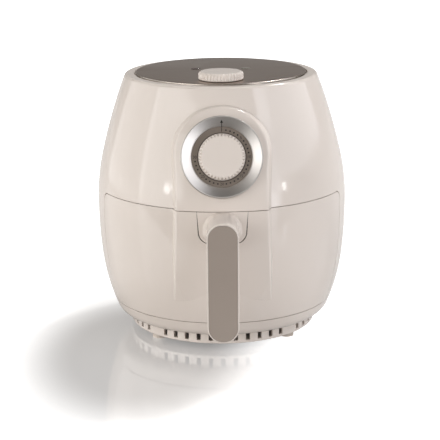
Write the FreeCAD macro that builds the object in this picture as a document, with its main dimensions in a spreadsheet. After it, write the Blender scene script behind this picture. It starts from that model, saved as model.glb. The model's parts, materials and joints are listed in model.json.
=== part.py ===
import FreeCAD
import Part
import math
import os
import Sketcher

# Hot-air fryer with a pull-out drawer. Millimetres and degrees throughout.
# The body axis is vertical, the front faces -Y and the table is at height zero.

SIZES = {
    # Egg-shaped outer form: tangent arcs above and below the belly
    "belly_radius": 115.0,
    "belly_height": 121.5,
    "upper_arc": 199.0,
    "upper_turn": 13.0,
    "shoulder_arc": 525.0,
    "lower_arc": 428.0,
    "lower_turn": 6.8,
    "heel_arc": 175.0,
    "heel_turn": 16.0,
    "curl_arc": 12.3,
    "rim_height": 238.8,
    "rim_round": 3.0,
    "wall": 2.6,
    # Clearances
    "fit_gap": 0.3,
    "running_gap": 0.05,
    "seam_gap": 0.6,
    "seam_angle": 0.3,
    "end_gap": 0.2,
    # Raised front panel, standing off the belly
    "panel_land": 4.9,
    "panel_stand": 5.0,
    "panel_belly": 130.0,
    "panel_axis": 37.0,
    "panel_low_arc": 254.0,
    "panel_high_arc": 207.0,
    "panel_edge_stand": 7.6,
    "panel_foot": 56.0,
    "panel_step": 0.7,
    "panel_waist": 4.0,
    "panel_tilt": 7.0,
    "panel_draft": 18.0,
    "panel_plane_stand": 14.5,
    "panel_round": 2.5,
    # Drawer window in the housing
    "window_low": 30.7,
    "window_high": 137.2,
    "window_half_angle": 68.3,
    "window_corner": 8.0,
    "window_foot_corner": 5.0,
    # Timer dial on the panel
    "dial_height": 183.5,
    "dial_lift": 0.1,
    "dial_tilt": 14.8,
    "bezel_width": 9.2,
    "bezel_proud": 2.5,
    "bezel_depth": 4.5,
    "bezel_edge": 1.0,
    "bezel_dish": 16.0,
    "scale_band": 5.9,
    "scale_sink": 1.5,
    "timer_half": 18.0,
    "timer_depth": 22.0,
    "timer_room": 2.0,
    "case_corner": 3.0,
    "case_floor": 4.0,
    "dial_floor": 2.5,
    "bush_room": 2.0,
    # Ribbed knobs
    "knob_radius": 20.0,
    "knob_height": 6.6,
    "knob_round": 3.0,
    "knob_cavity": 12.0,
    "knob_cavity_depth": 4.0,
    "knob_lift": 0.5,
    "knob_crown": 1.6,
    "knob_boss_wall": 3.0,
    "knob_boss_low": 2.6,
    "rib_count": 36,
    "rib_groove": 0.75,
    "rib_foot": 1.0,
    "spindle_radius": 3.0,
    "spindle_foot": 1.0,
    # Top deck and plate
    "rim_land": 8.3,
    "recess_depth": 2.5,
    "pedestal_rise": 0.2,
    "plate_gap": 1.6,
    "plate_overhang": 3.3,
    "plate_thick": 1.3,
    "plate_lip": 1.9,
    "plate_round": 1.0,
    "knob_edge": 5.8,
    "lamp_x": 23.0,
    "lamp_y": 8.0,
    "lamp_half_x": 3.9,
    "lamp_half_y": 2.5,
    "lamp_corner": 2.0,
    "lamp_proud": 0.4,
    "lamp_round": 0.3,
    "collar_wall": 1.0,
    "collar_proud": 3.8,
    "thermostat_x": 17.0,
    "thermostat_y": 15.0,
    "thermostat_depth": 16.0,
    "nut_wall": 2.0,
    "nut_thick": 3.0,
    "nut_room": 2.0,
    # Base ring and feet
    "foot_height": 5.8,
    "foot_radius": 6.5,
    "foot_inset": 25.4,
    "foot_bearing": 52.0,
    "base_step": 2.2,
    "base_wall": 2.5,
    "base_floor": 2.5,
    "base_round": 1.0,
    "foot_sink": 3.4,
    "lip_lap": 0.5,
    "slot_width": 4.0,
    "slot_sill": 2.6,
    "quarter_slots": 11,
    "intake_width": 4.0,
    "intake_near": 30.0,
    "intake_far": 70.0,
    "intake_count": 12,
    "post_radius": 3.8,
    # Screws
    "screw_radius": 1.5,
    "screw_head": 2.8,
    "head_height": 1.8,
    "foot_screw": 16.0,
    "liner_screw": 9.0,
    "drawer_screw": 9.0,
    "tongue_screw": 7.0,
    # Cooking chamber
    "sill_rise": 3.6,
    "liner_rise": 2.8,
    "pan_room": 3.0,
    "corner_room": 3.5,
    "sheet": 1.2,
    "frame_thick": 2.0,
    "frame_half_angle": 78.0,
    "frame_lap": 3.0,
    "rail_height": 4.4,
    "rail_width": 8.0,
    "rail_inset": 33.0,
    "rail_front": 65.0,
    "rail_back_gap": 10.3,
    "rail_gap": 0.4,
    "dome_land": 7.5,
    "dome_height": 27.0,
    "dome_corner": 8.0,
    # Heater, fans and motor
    "tube_radius": 3.25,
    "coil_gap": 14.0,
    "coil_step": 12.0,
    "heater_rise": 8.0,
    "bend_radius": 9.0,
    "lead_angle": 15.0,
    "terminal_rise": 10.0,
    "clip_width": 7.0,
    "clip_count": 3,
    "clip_hook": 2.0,
    "fan_gap": 6.0,
    "fan_rise": 13.5,
    "blade_height": 9.0,
    "blade_thick": 1.2,
    "blade_count": 8,
    "hub_radius": 8.0,
    "bracket_rise": 18.0,
    "bracket_half": 40.0,
    "bracket_width": 26.0,
    "bracket_foot": 9.0,
    "motor_radius": 27.0,
    "motor_height": 22.0,
    "motor_cap": 4.0,
    "shaft_end": 6.0,
    "cooler_radius": 31.0,
    "cooler_rise": 5.0,
    "cooler_blades": 6,
    "cutout_x": 30.0,
    "cutout_y": 40.0,
    "cutout_radius": 7.0,
    "cutout_height": 6.0,
    # Pan and drawer front
    "front_step": 0.4,
    "pan_half": 78.0,
    "pan_front": 86.0,
    "pan_back_gap": 0.8,
    "pan_corner": 38.0,
    "pan_front_corner": 30.0,
    "pan_top": 127.0,
    "pan_round": 9.0,
    "pan_rim": 2.5,
    "cover_margin": 10.0,
    "cover_low_gap": 2.0,
    "cover_high_gap": 1.0,
    "cover_corner": 10.0,
    "cover_thick": 2.5,
    "boss_rise": 14.0,
    "boss_drop": 23.0,
    "boss_radius": 4.0,
    "bore_depth": 6.5,
    "panel_wall": 2.6,
    # Basket
    "basket_gap": 6.0,
    "basket_front_gap": 7.0,
    "basket_corner_gap": 3.0,
    "basket_lift": 10.0,
    "basket_drop": 2.0,
    "basket_ledge": 8.0,
    "basket_round": 1.0,
    "grate_margin": 12.0,
    "grate_web": 4.8,
    "grate_width": 3.0,
    "grate_columns": 6,
    "grate_rows": 16,
    "strap_half": 13.0,
    "strap_thick": 1.5,
    "strap_flange": 6.0,
    "strap_hole": 7.0,
    "strap_screw_rise": 12.3,
    "rivet_drop": 13.0,
    "rivet_end": 1.0,
    "strap_lift": 1.4,
    # Handle
    "tongue_half": 21.9,
    "tongue_low": 108.7,
    "tongue_corner": 10.0,
    "tongue_taper": 1.5,
    "tongue_depth": 8.5,
    "tongue_bore": 7.0,
    "notch_gap": 0.8,
    "grip_half": 13.5,
    "grip_stand": 43.0,
    "grip_thick": 14.0,
    "grip_low": 32.0,
    "grip_round": 1.0,
    "grip_back_round": 3.0,
    "neck_drop": 0.4,
    "neck_low": 115.0,
    "neck_round": 9.0,
    "neck_corner": 12.4,
    "root_spread": 4.2,
    "root_rise": 0.2,
    "root_corner": 5.0,
    "root_depth": 9.0,
    "root_sink": 2.0,
    "inlay_border": 1.3,
    "inlay_thick": 1.6,
    "inlay_proud": 0.3,
    "inlay_gap": 0.2,
    "inlay_round": 0.4,
    # Rear of the housing
    "vent_low": 152.0,
    "vent_high": 186.0,
    "vent_half_angle": 19.0,
    "vent_slots": 6,
    "grille_lap": 3.0,
    "grille_lap_angle": 2.0,
    "gland_height": 70.0,
    "gland_tilt": 6.5,
    "gland_radius": 7.0,
    "gland_rim": 2.5,
    "gland_proud": 2.0,
    "gland_depth": 9.0,
    "cord_radius": 3.4,
}

doc = FreeCAD.newDocument("fryer")
sheet = doc.addObject("Spreadsheet::Sheet", "dims")
for row, (name, number) in enumerate(SIZES.items(), start=1):
    sheet.set("A%d" % row, name)
    sheet.set("B%d" % row, str(number))
    sheet.setAlias("B%d" % row, name)
doc.recompute()


class Size:
    """A number together with the sheet formula that gives it."""

    def __init__(self, value, text):
        self.value = value
        self.text = text

    def __add__(self, other):
        other = size(other)
        return Size(self.value + other.value, "(%s + %s)" % (self.text, other.text))

    def __sub__(self, other):
        other = size(other)
        return Size(self.value - other.value, "(%s - %s)" % (self.text, other.text))

    def __mul__(self, other):
        other = size(other)
        return Size(self.value * other.value, "(%s * %s)" % (self.text, other.text))

    def __truediv__(self, other):
        other = size(other)
        return Size(self.value / other.value, "(%s / %s)" % (self.text, other.text))

    def __neg__(self):
        return Size(-self.value, "(0 - %s)" % self.text)

    def __radd__(self, other):
        return size(other) + self

    def __rsub__(self, other):
        return size(other) - self

    def __rmul__(self, other):
        return size(other) * self


def size(number):
    """Wrap a plain number; a Size passes through."""
    if isinstance(number, Size):
        return number
    return Size(float(number), "(%r)" % float(number))


def cosine(angle):
    return Size(math.cos(math.radians(angle.value)), "cos(%s)" % angle.text)


def sine(angle):
    return Size(math.sin(math.radians(angle.value)), "sin(%s)" % angle.text)


def tangent(angle):
    return Size(math.tan(math.radians(angle.value)), "tan(%s)" % angle.text)


def root(number):
    return Size(math.sqrt(number.value), "sqrt(%s)" % number.text)


class Sheet:
    """Reads a driving size by its name in the sheet."""

    def __getattr__(self, name):
        return Size(float(sheet.get(name)), "dims.%s" % name)


dim = Sheet()

# Sizes that follow from others through a named clearance or land
scale_radius = dim.knob_radius + dim.scale_band
bezel_radius = scale_radius + dim.bezel_width
panel_half = bezel_radius + dim.panel_land
panel_reach = dim.belly_radius + dim.panel_stand
panel_edge = dim.belly_radius + dim.panel_edge_stand
panel_plane = dim.belly_radius + dim.panel_plane_stand
bush_radius = dim.spindle_radius + dim.bush_room
collar_radius = dim.spindle_radius + dim.collar_wall
nut_across = 2 * (collar_radius + dim.nut_wall)
knob_boss = dim.spindle_radius + dim.knob_boss_wall
pedestal_height = dim.rim_height + dim.pedestal_rise
liner_floor = dim.window_low + dim.sill_rise
liner_top = dim.window_high + dim.liner_rise
liner_half = dim.pan_half + dim.pan_rim + dim.pan_room
liner_corner = dim.pan_corner + dim.pan_rim + dim.corner_room
rail_x = dim.pan_half - dim.rail_inset
dome_radius = liner_half - dim.dome_land
coil_outer = dome_radius - dim.coil_gap
coil_inner = coil_outer - dim.coil_step
heater_height = liner_top + dim.heater_rise
fan_radius = coil_inner - dim.fan_gap
fan_height = liner_top + dim.fan_rise
pan_back = liner_half - dim.sheet - dim.pan_rim - dim.pan_back_gap
pan_floor = liner_floor + dim.sheet + dim.rail_height + dim.rail_gap
boss_x = dim.pan_half - dim.pan_front_corner - dim.boss_radius
boss_low = pan_floor + dim.boss_rise
boss_high = dim.pan_top - dim.boss_drop
cover_half = boss_x + dim.cover_margin
cover_low = pan_floor + dim.cover_low_gap
cover_high = dim.pan_top - dim.cover_high_gap
basket_half = dim.pan_half - dim.basket_gap
basket_front = dim.pan_front - dim.basket_front_gap
basket_back = pan_back - dim.basket_gap
basket_corner = dim.pan_front_corner - dim.basket_corner_gap
basket_floor = pan_floor + dim.basket_lift
basket_top = dim.pan_top - dim.basket_drop
grate_reach = basket_half - dim.grate_margin
strap_screw = dim.tongue_low + dim.strap_screw_rise
strap_rivet = basket_top - dim.rivet_drop
tongue_back = panel_reach - dim.tongue_depth
grip_front = dim.belly_radius + dim.grip_stand
neck_high = dim.window_high - dim.seam_gap - dim.neck_drop
inlay_half = dim.grip_half - dim.inlay_border
gland_flange = dim.gland_radius + dim.gland_rim
front_wall = dim.wall - dim.front_step
foot_circle = (liner_half - liner_corner) * root(size(2)) + liner_corner - dim.foot_inset


class Arc:
    """A step of an outline: an arc to a point, turning left or right, under half a turn."""

    def __init__(self, end, radius, left=True):
        self.end = end
        self.radius = size(radius)
        self.left = left


def bind(item, name, value):
    """Drive one property from the sheet."""
    item.setExpression(name, size(value).text)


def arc_centre(start, end, radius, left):
    """Centre of the arc under half a turn between two plain points."""
    along = (end[0] - start[0], end[1] - start[1])
    chord = math.hypot(*along)
    rise = math.sqrt(max(radius * radius - chord * chord / 4, 0.0))
    side = rise if left else -rise
    middle = ((start[0] + end[0]) / 2, (start[1] + end[1]) / 2)
    return (middle[0] - along[1] / chord * side, middle[1] + along[0] / chord * side)


def plain(point):
    return (size(point[0]).value, size(point[1]).value)


def pin_point(sketch, geometry, end, point):
    """Fix a sketch point by its two distances from the sketch origin."""
    for kind, axis, distance in (("DistanceX", -2, point[0]), ("DistanceY", -1, point[1])):
        distance = size(distance)
        if distance.text == "(0.0)":
            sketch.addConstraint(Sketcher.Constraint("PointOnObject", geometry, end, axis))
            continue
        rule = Sketcher.Constraint(kind, -1, 1, geometry, end, distance.value)
        index = sketch.addConstraint(rule)
        bind(sketch, "Constraints[%d]" % index, distance)


def draw_outline(sketch, steps):
    """Draw a closed outline: a start point, then points (lines) and Arcs."""
    first = steps[0]
    corners = [first]
    runs = []
    for step in steps[1:]:
        target = step.end if isinstance(step, Arc) else step
        runs.append((corners[-1], target, step if isinstance(step, Arc) else None))
        corners.append(target)
    gap = math.dist(plain(corners[-1]), plain(first))
    if gap > 1e-6:
        runs.append((corners[-1], first, None))
    ends = []
    for start, target, arc in runs:
        begin = plain(start)
        finish = plain(target)
        if arc is None:
            line = Part.LineSegment(FreeCAD.Vector(*begin, 0), FreeCAD.Vector(*finish, 0))
            ends.append((sketch.addGeometry(line), 1, 2))
            continue
        centre = arc_centre(begin, finish, arc.radius.value, arc.left)
        low, high = (begin, finish) if arc.left else (finish, begin)
        angles = [math.atan2(p[1] - centre[1], p[0] - centre[0]) for p in (low, high)]
        if angles[1] < angles[0]:
            angles[1] += 2 * math.pi
        circle = Part.Circle(FreeCAD.Vector(*centre, 0), FreeCAD.Vector(0, 0, 1), arc.radius.value)
        index = sketch.addGeometry(Part.ArcOfCircle(circle, *angles))
        ends.append((index, 1, 2) if arc.left else (index, 2, 1))
    for place, (start, target, arc) in enumerate(runs):
        index, begin, finish = ends[place]
        following = ends[(place + 1) % len(ends)]
        sketch.addConstraint(Sketcher.Constraint("Coincident", index, finish, following[0], following[1]))
        pin_point(sketch, index, begin, start)
        if arc is not None:
            rule = sketch.addConstraint(Sketcher.Constraint("Radius", index, arc.radius.value))
            bind(sketch, "Constraints[%d]" % rule, arc.radius)


def draw_circle(sketch, centre, radius):
    radius = size(radius)
    circle = Part.Circle(FreeCAD.Vector(*plain(centre), 0), FreeCAD.Vector(0, 0, 1), radius.value)
    index = sketch.addGeometry(circle)
    pin_point(sketch, index, 3, centre)
    rule = sketch.addConstraint(Sketcher.Constraint("Radius", index, radius.value))
    bind(sketch, "Constraints[%d]" % rule, radius)


# Sketch planes: origin plane, turn about the sketch's own axes
# top: x right, y back. front: x right, y up, facing -Y. rear: x back, y up.
# side: x forward, y up, facing -X.
PLANES = {
    "top": ("XY_Plane", None),
    "front": ("XZ_Plane", None),
    "rear": ("YZ_Plane", None),
    "side": ("YZ_Plane", (FreeCAD.Vector(0, 1, 0), 180)),
}


def new_sketch(body, plane, outlines=(), circles=(), level=0, shift=0, tilt=None):
    """Sketch on one of the body's own origin planes, raised by level along its normal."""
    sketch = body.newObject("Sketcher::SketchObject", "Sketch")
    role, turn = PLANES[plane]
    support = [part for part in body.Origin.OriginFeatures if part.Role == role][0]
    sketch.AttachmentSupport = [(support, "")]
    sketch.MapMode = "FlatFace"
    rotation = FreeCAD.Rotation(*turn) if turn else FreeCAD.Rotation()
    sketch.AttachmentOffset = FreeCAD.Placement(FreeCAD.Vector(0, 0, 0), rotation)
    if tilt is not None:
        rotation = FreeCAD.Rotation(FreeCAD.Vector(-1, 0, 0), size(tilt).value)
        level = size(level)
        sketch.AttachmentOffset = FreeCAD.Placement(FreeCAD.Vector(0, 0, 0), rotation)
        bind(sketch, "AttachmentOffset.Rotation.Angle", tilt)
        bind(sketch, "AttachmentOffset.Base.y", level * sine(size(tilt)))
        bind(sketch, "AttachmentOffset.Base.z", level * cosine(size(tilt)))
    else:
        bind(sketch, "AttachmentOffset.Base.z", level)
    if size(shift).value:
        bind(sketch, "AttachmentOffset.Base.x", shift)
    for steps in outlines:
        draw_outline(sketch, steps)
    for centre, radius in circles:
        draw_circle(sketch, centre, radius)
    doc.recompute()
    return sketch


def feature(body, kind, sketch):
    item = body.newObject("PartDesign::" + kind, kind)
    item.Profile = sketch
    return item


def finish(item, expected):
    """Recompute and make sure the feature added or removed material."""
    before = item.BaseFeature.Shape.Volume if item.BaseFeature else 0.0
    doc.recompute()
    change = item.Shape.Volume - before
    if change * expected <= 0:
        raise RuntimeError("%s changed nothing in %s" % (item.Name, item.getParentGeoFeatureGroup().Label))
    return item


def pad(body, sketch, length, both=False, reverse=False, taper=None, back=None):
    item = feature(body, "Pad", sketch)
    bind(item, "Length", length)
    item.Reversed = reverse
    if both:
        item.SideType = "Symmetric"
    if back is not None:
        item.SideType = "Two sides"
        bind(item, "Length2", back)
    if taper is not None:
        bind(item, "TaperAngle", -size(taper))
        if back is not None:
            bind(item, "TaperAngle2", taper)
    return finish(item, 1)


def pocket(body, sketch, length, both=False, reverse=False):
    """Cut against the sketch normal, or along it when reversed."""
    item = feature(body, "Pocket", sketch)
    bind(item, "Length", length)
    item.Reversed = reverse
    if both:
        item.SideType = "Symmetric"
    return finish(item, -1)


def spin(body, kind, sketch, half_angle=None):
    """Revolve or groove about the sketch's upright axis, all round or to both sides."""
    item = feature(body, kind, sketch)
    item.ReferenceAxis = (sketch, ["V_Axis"])
    if half_angle is not None:
        item.Midplane = True
        bind(item, "Angle", 2 * size(half_angle))
    return finish(item, 1 if kind == "Revolution" else -1)


def ring_pattern(body, items, count, angle=360):
    """Repeat features about the body's upright axis."""
    pattern = body.newObject("PartDesign::PolarPattern", "PolarPattern")
    pattern.Originals = items
    axis = [part for part in body.Origin.OriginFeatures if part.Role == "Z_Axis"][0]
    pattern.Axis = (axis, [""])
    pattern.Angle = angle
    bind(pattern, "Occurrences", count)
    body.Tip = pattern
    doc.recompute()
    return pattern


def row_pattern(body, items, axis_role, length, count):
    """Repeat features along one of the body's axes."""
    pattern = body.newObject("PartDesign::LinearPattern", "LinearPattern")
    pattern.Originals = items
    axis = [part for part in body.Origin.OriginFeatures if part.Role == axis_role][0]
    pattern.Direction = (axis, [""])
    bind(pattern, "Length", length)
    bind(pattern, "Occurrences", count)
    body.Tip = pattern
    doc.recompute()
    return pattern


def round_edges(body, chosen, radius, kind="Fillet"):
    """Fillet or chamfer the edges of the body's tip that the test picks out."""
    base = body.Tip
    names = ["Edge%d" % place for place, edge in enumerate(base.Shape.Edges, start=1) if chosen(edge)]
    if not names:
        raise RuntimeError("no edge to round in " + body.Label)
    item = body.newObject("PartDesign::" + kind, kind)
    item.Base = (base, names)
    bind(item, "Size" if kind == "Chamfer" else "Radius", radius)
    doc.recompute()
    return item


def hollow_out(body, open_face, thick):
    """Shell the body inwards, leaving the picked face open."""
    base = body.Tip
    names = ["Face%d" % number for number, face in enumerate(base.Shape.Faces, start=1) if open_face(face)]
    item = body.newObject("PartDesign::Thickness", "Thickness")
    item.Base = (base, names)
    item.Reversed = True
    bind(item, "Value", thick)
    doc.recompute()
    return item


parts = []


def new_body(label):
    """A sub-part; kept for the export under its label."""
    body = doc.addObject("PartDesign::Body", label)
    body.Label = label
    parts.append(body)
    return body


def edge_middle(edge):
    return edge.valueAt((edge.FirstParameter + edge.LastParameter) / 2)


def near(value, target, margin=0.05):
    return abs(value - size(target).value) < margin


def rounded_box(low_x, low_y, high_x, high_y, corner):
    """Rectangle outline with quarter-round corners."""
    corner = size(corner)
    low_x, low_y, high_x, high_y = [size(value) for value in (low_x, low_y, high_x, high_y)]
    return [
        (low_x + corner, low_y),
        (high_x - corner, low_y),
        Arc((high_x, low_y + corner), corner),
        (high_x, high_y - corner),
        Arc((high_x - corner, high_y), corner),
        (low_x + corner, high_y),
        Arc((low_x, high_y - corner), corner),
        (low_x, low_y + corner),
        Arc((low_x + corner, low_y), corner),
    ]


def box(low_x, low_y, high_x, high_y):
    return [(low_x, low_y), (high_x, low_y), (high_x, high_y), (low_x, high_y)]


# Egg profile. Each entry: arc centre, radius, and the height where the arc ends at inset zero.
low_angle = dim.lower_turn + dim.heel_turn
heel_centre = (
    dim.belly_radius - dim.lower_arc + (dim.lower_arc - dim.heel_arc) * cosine(dim.lower_turn),
    dim.belly_height - (dim.lower_arc - dim.heel_arc) * sine(dim.lower_turn),
)
curl_centre = (
    heel_centre[0] + (dim.heel_arc - dim.curl_arc) * cosine(low_angle),
    heel_centre[1] - (dim.heel_arc - dim.curl_arc) * sine(low_angle),
)
lower_centre = (dim.belly_radius - dim.lower_arc, dim.belly_height)
upper_centre = (dim.belly_radius - dim.upper_arc, dim.belly_height)
shoulder_centre = (
    upper_centre[0] + (dim.upper_arc - dim.shoulder_arc) * cosine(dim.upper_turn),
    upper_centre[1] + (dim.upper_arc - dim.shoulder_arc) * sine(dim.upper_turn),
)
EGG = [
    (curl_centre, dim.curl_arc, -low_angle),
    (heel_centre, dim.heel_arc, -dim.lower_turn),
    (lower_centre, dim.lower_arc, size(0)),
    (upper_centre, dim.upper_arc, dim.upper_turn),
    (shoulder_centre, dim.shoulder_arc, None),
]
skirt = curl_centre[1] - dim.curl_arc


def egg_spans(inset):
    """Arcs of the egg pulled in by inset: centre, radius, end point (None for the last)."""
    spans = []
    for centre, radius, angle in EGG:
        inner = radius - inset
        end = None
        if angle is not None:
            end = (centre[0] + inner * cosine(angle), centre[1] + inner * sine(angle))
        spans.append((centre, inner, end))
    return spans


def egg_radius(height, inset=0):
    """Radius of the egg at a height."""
    height = size(height)
    for centre, radius, end in egg_spans(inset):
        if end is None or height.value <= end[1].value:
            rise = height - centre[1]
            return centre[0] + root(radius * radius - rise * rise)


def egg_line(low, high, inset=0):
    """Steps up the egg profile between two heights."""
    low = size(low)
    high = size(high)
    steps = [(egg_radius(low, inset), low)]
    for centre, radius, end in egg_spans(inset):
        if end is not None and end[1].value <= low.value:
            continue
        if end is None or end[1].value >= high.value:
            steps.append(Arc((egg_radius(high, inset), high), radius))
            break
        steps.append(Arc(end, radius))
    return steps


def turned_round(steps):
    """The same steps walked the other way."""
    points = [step.end if isinstance(step, Arc) else step for step in steps]
    back = [points[-1]]
    for place in range(len(steps) - 1, 0, -1):
        step = steps[place]
        target = points[place - 1]
        back.append(Arc(target, step.radius, not step.left) if isinstance(step, Arc) else target)
    return back


# Top deck: the plate lies in the rim, the base ring under the curl
recess_radius = egg_radius(dim.rim_height) - dim.rim_land
plate_radius = recess_radius - dim.plate_gap
pedestal_radius = plate_radius - dim.plate_overhang
control_y = plate_radius - dim.knob_radius - dim.knob_edge
base_radius = curl_centre[0] - dim.base_step
lip_radius = base_radius - dim.base_wall - dim.lip_lap

# Raised front panel
FAR = dim.belly_radius + 75


def panel_profile(height, inset=0):
    """How far forward the panel's middle line lies at a height, from the body axis."""
    height = size(height)
    arc = dim.panel_high_arc if height.value > dim.panel_belly.value else dim.panel_low_arc
    rise = height - dim.panel_belly
    arc = arc - inset
    return panel_reach - inset - arc + root(arc * arc - rise * rise)


dial_reach = panel_profile(dim.dial_height) + dim.dial_lift
panel_low = dim.panel_foot - 18


def trim_to_panel(body, inset=0):
    """Cut the body back to the panel's front surface."""
    low = panel_low
    high = dim.rim_height
    forward = dim.panel_axis
    surface = [
        (panel_profile(low, inset) + forward, low),
        Arc((panel_reach - inset + forward, dim.panel_belly), dim.panel_low_arc - inset),
        Arc((panel_profile(high, inset) + forward, high), dim.panel_high_arc - inset),
        (FAR, high),
        (FAR, low),
    ]
    front = new_sketch(body, "side", [surface], shift=dim.panel_axis)
    spin(body, "Groove", front, 55)


foot_reach = egg_radius(dim.panel_foot) + dim.panel_step


def trim_to_foot(body, inset=0):
    """Bring the panel down to a small step over the egg at its foot."""
    low = panel_low
    edge = panel_edge - inset
    gain = panel_edge - foot_reach
    rise = dim.panel_belly - dim.panel_foot
    ramp_arc = (rise * rise + gain * gain) / (2 * gain) - inset
    drop = low - dim.panel_belly
    ramp = [
        (edge - ramp_arc + root(ramp_arc * ramp_arc - drop * drop), low),
        Arc((edge, dim.panel_belly), ramp_arc),
        (FAR, dim.panel_belly),
        (FAR, low),
    ]
    foot = new_sketch(body, "side", [ramp])
    spin(body, "Groove", foot, 55)


def add_panel(body, inset=0):
    """Drafted block with an arched top round the dial, cut to the panel's front surface."""
    half = panel_half - inset
    foot_half = half - dim.panel_waist
    # Heights measured up the tilted sketch plane: the foot (where the draft has reached the egg),
    # the belly and the dial centre
    lean_cos = cosine(dim.panel_tilt)
    lean_sin = sine(dim.panel_tilt)
    foot_depth = panel_plane - foot_reach * lean_cos - dim.panel_foot * lean_sin
    low = dim.panel_foot * lean_cos - foot_reach * lean_sin + foot_depth * tangent(dim.panel_draft)
    belly = dim.panel_belly * lean_cos - panel_reach * lean_sin
    centre = dim.dial_height * lean_cos - dial_reach * lean_sin
    drop = belly - low
    side_arc = (drop * drop + dim.panel_waist * dim.panel_waist) / (2 * dim.panel_waist)
    outline = [
        (-half, belly),
        Arc((-foot_half, low), side_arc),
        (foot_half, low),
        Arc((half, belly), side_arc),
        (half, centre),
        Arc((0, centre + half), half),
        Arc((-half, centre), half),
    ]
    sketch = new_sketch(body, "front", [outline], level=panel_plane, tilt=dim.panel_tilt)
    pad(body, sketch, 20, back=40, taper=dim.panel_draft)
    trim_to_panel(body, inset)
    trim_to_foot(body, inset)


def round_panel(body):
    """Soft edge along the sides and the arch of the panel."""
    def on_front_edge(edge):
        middle = edge_middle(edge)
        reach = math.hypot(middle.x, middle.y - dim.panel_axis.value)
        return near(reach, panel_profile(middle.z) + dim.panel_axis) and abs(middle.x) > 1

    round_edges(body, on_front_edge, dim.panel_round)


# Housing: panel and egg, hollowed, with the drawer window and the openings
deck_low = dim.rim_height - dim.recess_depth - dim.wall
pedestal_under = pedestal_height - dim.wall
recess_floor = dim.rim_height - dim.recess_depth
inner_skirt = curl_centre[1] - dim.curl_arc + dim.wall


def build_housing():
    body = new_body("housing")
    add_panel(body)
    round_panel(body)
    edge_height = size(skirt)
    outside = [(size(0), edge_height), (curl_centre[0], edge_height)]
    line = egg_line(skirt + 0.02, dim.rim_height)
    outside += [Arc(line[1].end, dim.curl_arc)] + line[2:]
    outside += [
        (recess_radius, dim.rim_height),
        (recess_radius, recess_floor),
        (pedestal_radius, recess_floor),
        (pedestal_radius, pedestal_height),
        (size(0), pedestal_height),
    ]
    egg = new_sketch(body, "rear", [outside])
    spin(body, "Revolution", egg)
    inside = [(size(0), skirt - 5), (lip_radius, skirt - 5), (lip_radius, inner_skirt)]
    line = egg_line(inner_skirt + 0.02, deck_low, dim.wall)
    inside += [(curl_centre[0], inner_skirt), Arc(line[1].end, dim.curl_arc - dim.wall)] + line[2:]
    pedestal_inner = pedestal_radius - dim.wall
    inside += [(pedestal_inner, deck_low), (pedestal_inner, pedestal_under), (size(0), pedestal_under)]
    hollow = new_sketch(body, "rear", [inside])
    spin(body, "Groove", hollow)
    cut_window(body)
    cut_dial_seat(body)
    cut_deck_holes(body)
    cut_rear(body)
    rim = egg_radius(dim.rim_height).value

    def outer_rim(edge):
        return on_circle(edge, dim.rim_height) and near(edge.Curve.Radius, rim)

    round_edges(body, outer_rim, dim.rim_round)
    return body


def on_circle(edge, height):
    """True for a level circular edge at a height."""
    return isinstance(edge.Curve, Part.Circle) and near(edge_middle(edge).z, height)


def at_sector_corner(edge, half_angle, height):
    """True for a short radial edge at the corner of a sector on the front."""
    middle = edge_middle(edge)
    angle = math.degrees(math.atan2(abs(middle.x), -middle.y))
    radial = near(angle, half_angle, 0.2) and edge.Length < 2 * dim.wall.value
    return radial and near(middle.z, height, 0.5)


def round_sector(body, half_angle, low, high):
    """Round the upper and lower corners of a sector on the front."""
    round_edges(body, lambda edge: at_sector_corner(edge, half_angle, high), dim.window_corner)
    round_edges(body, lambda edge: at_sector_corner(edge, half_angle, low), dim.window_foot_corner)


def cut_window(body):
    """Opening for the drawer, with rounded corners."""
    window = new_sketch(body, "side", [box(60, dim.window_low, FAR, dim.window_high)])
    spin(body, "Groove", window, dim.window_half_angle)
    round_sector(body, dim.window_half_angle, dim.window_low, dim.window_high)


# Dial axis: distance of the dial centre along it and up the tilted face
dial_level = dial_reach * cosine(dim.dial_tilt) + dim.dial_height * sine(dim.dial_tilt)
dial_rise = dim.dial_height * cosine(dim.dial_tilt) - dial_reach * sine(dim.dial_tilt)


def cut_dial_seat(body):
    """Flat recess for the bezel, bush hole and a flat seat for the timer inside."""
    centre = (0, dial_rise)
    floor = dial_level - dim.bezel_depth
    recess = new_sketch(body, "front", circles=[(centre, bezel_radius + dim.fit_gap)], level=floor,
                        tilt=dim.dial_tilt)
    pocket(body, recess, 30, reverse=True)
    bush = new_sketch(body, "front", circles=[(centre, bush_radius)], level=floor, tilt=dim.dial_tilt)
    pocket(body, bush, 20)
    half = dim.timer_half + dim.timer_room
    seat_box = box(-half, dial_rise - half, half, dial_rise + half)
    seat = new_sketch(body, "front", [seat_box], level=floor - dim.dial_floor, tilt=dim.dial_tilt)
    pocket(body, seat, 30)


def lamp_outline(side, gap=0):
    half_x = dim.lamp_half_x + gap
    half_y = dim.lamp_half_y + gap
    x = side * dim.lamp_x
    return rounded_box(x - half_x, dim.lamp_y - half_y, x + half_x, dim.lamp_y + half_y, dim.lamp_corner)


def cut_deck_holes(body):
    """Hole for the thermostat bush and the two lamp lenses."""
    lamps = [lamp_outline(side, dim.fit_gap) for side in (-1, 1)]
    bush = ((0, -control_y), collar_radius + dim.fit_gap)
    holes = new_sketch(body, "top", lamps, [bush], level=pedestal_height + 1)
    pocket(body, holes, 8)


def cut_rear(body):
    """Air outlet and cord gland hole at the back."""
    outlet = new_sketch(body, "rear", [box(dim.belly_radius - 30, dim.vent_low, FAR, dim.vent_high)])
    spin(body, "Groove", outlet, dim.vent_half_angle)
    hole_radius = dim.gland_radius + dim.fit_gap
    hole = ((0, dim.gland_height), hole_radius)
    gland = new_sketch(body, "front", circles=[hole], level=25 - dim.belly_radius)
    pocket(body, gland, 40)


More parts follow.
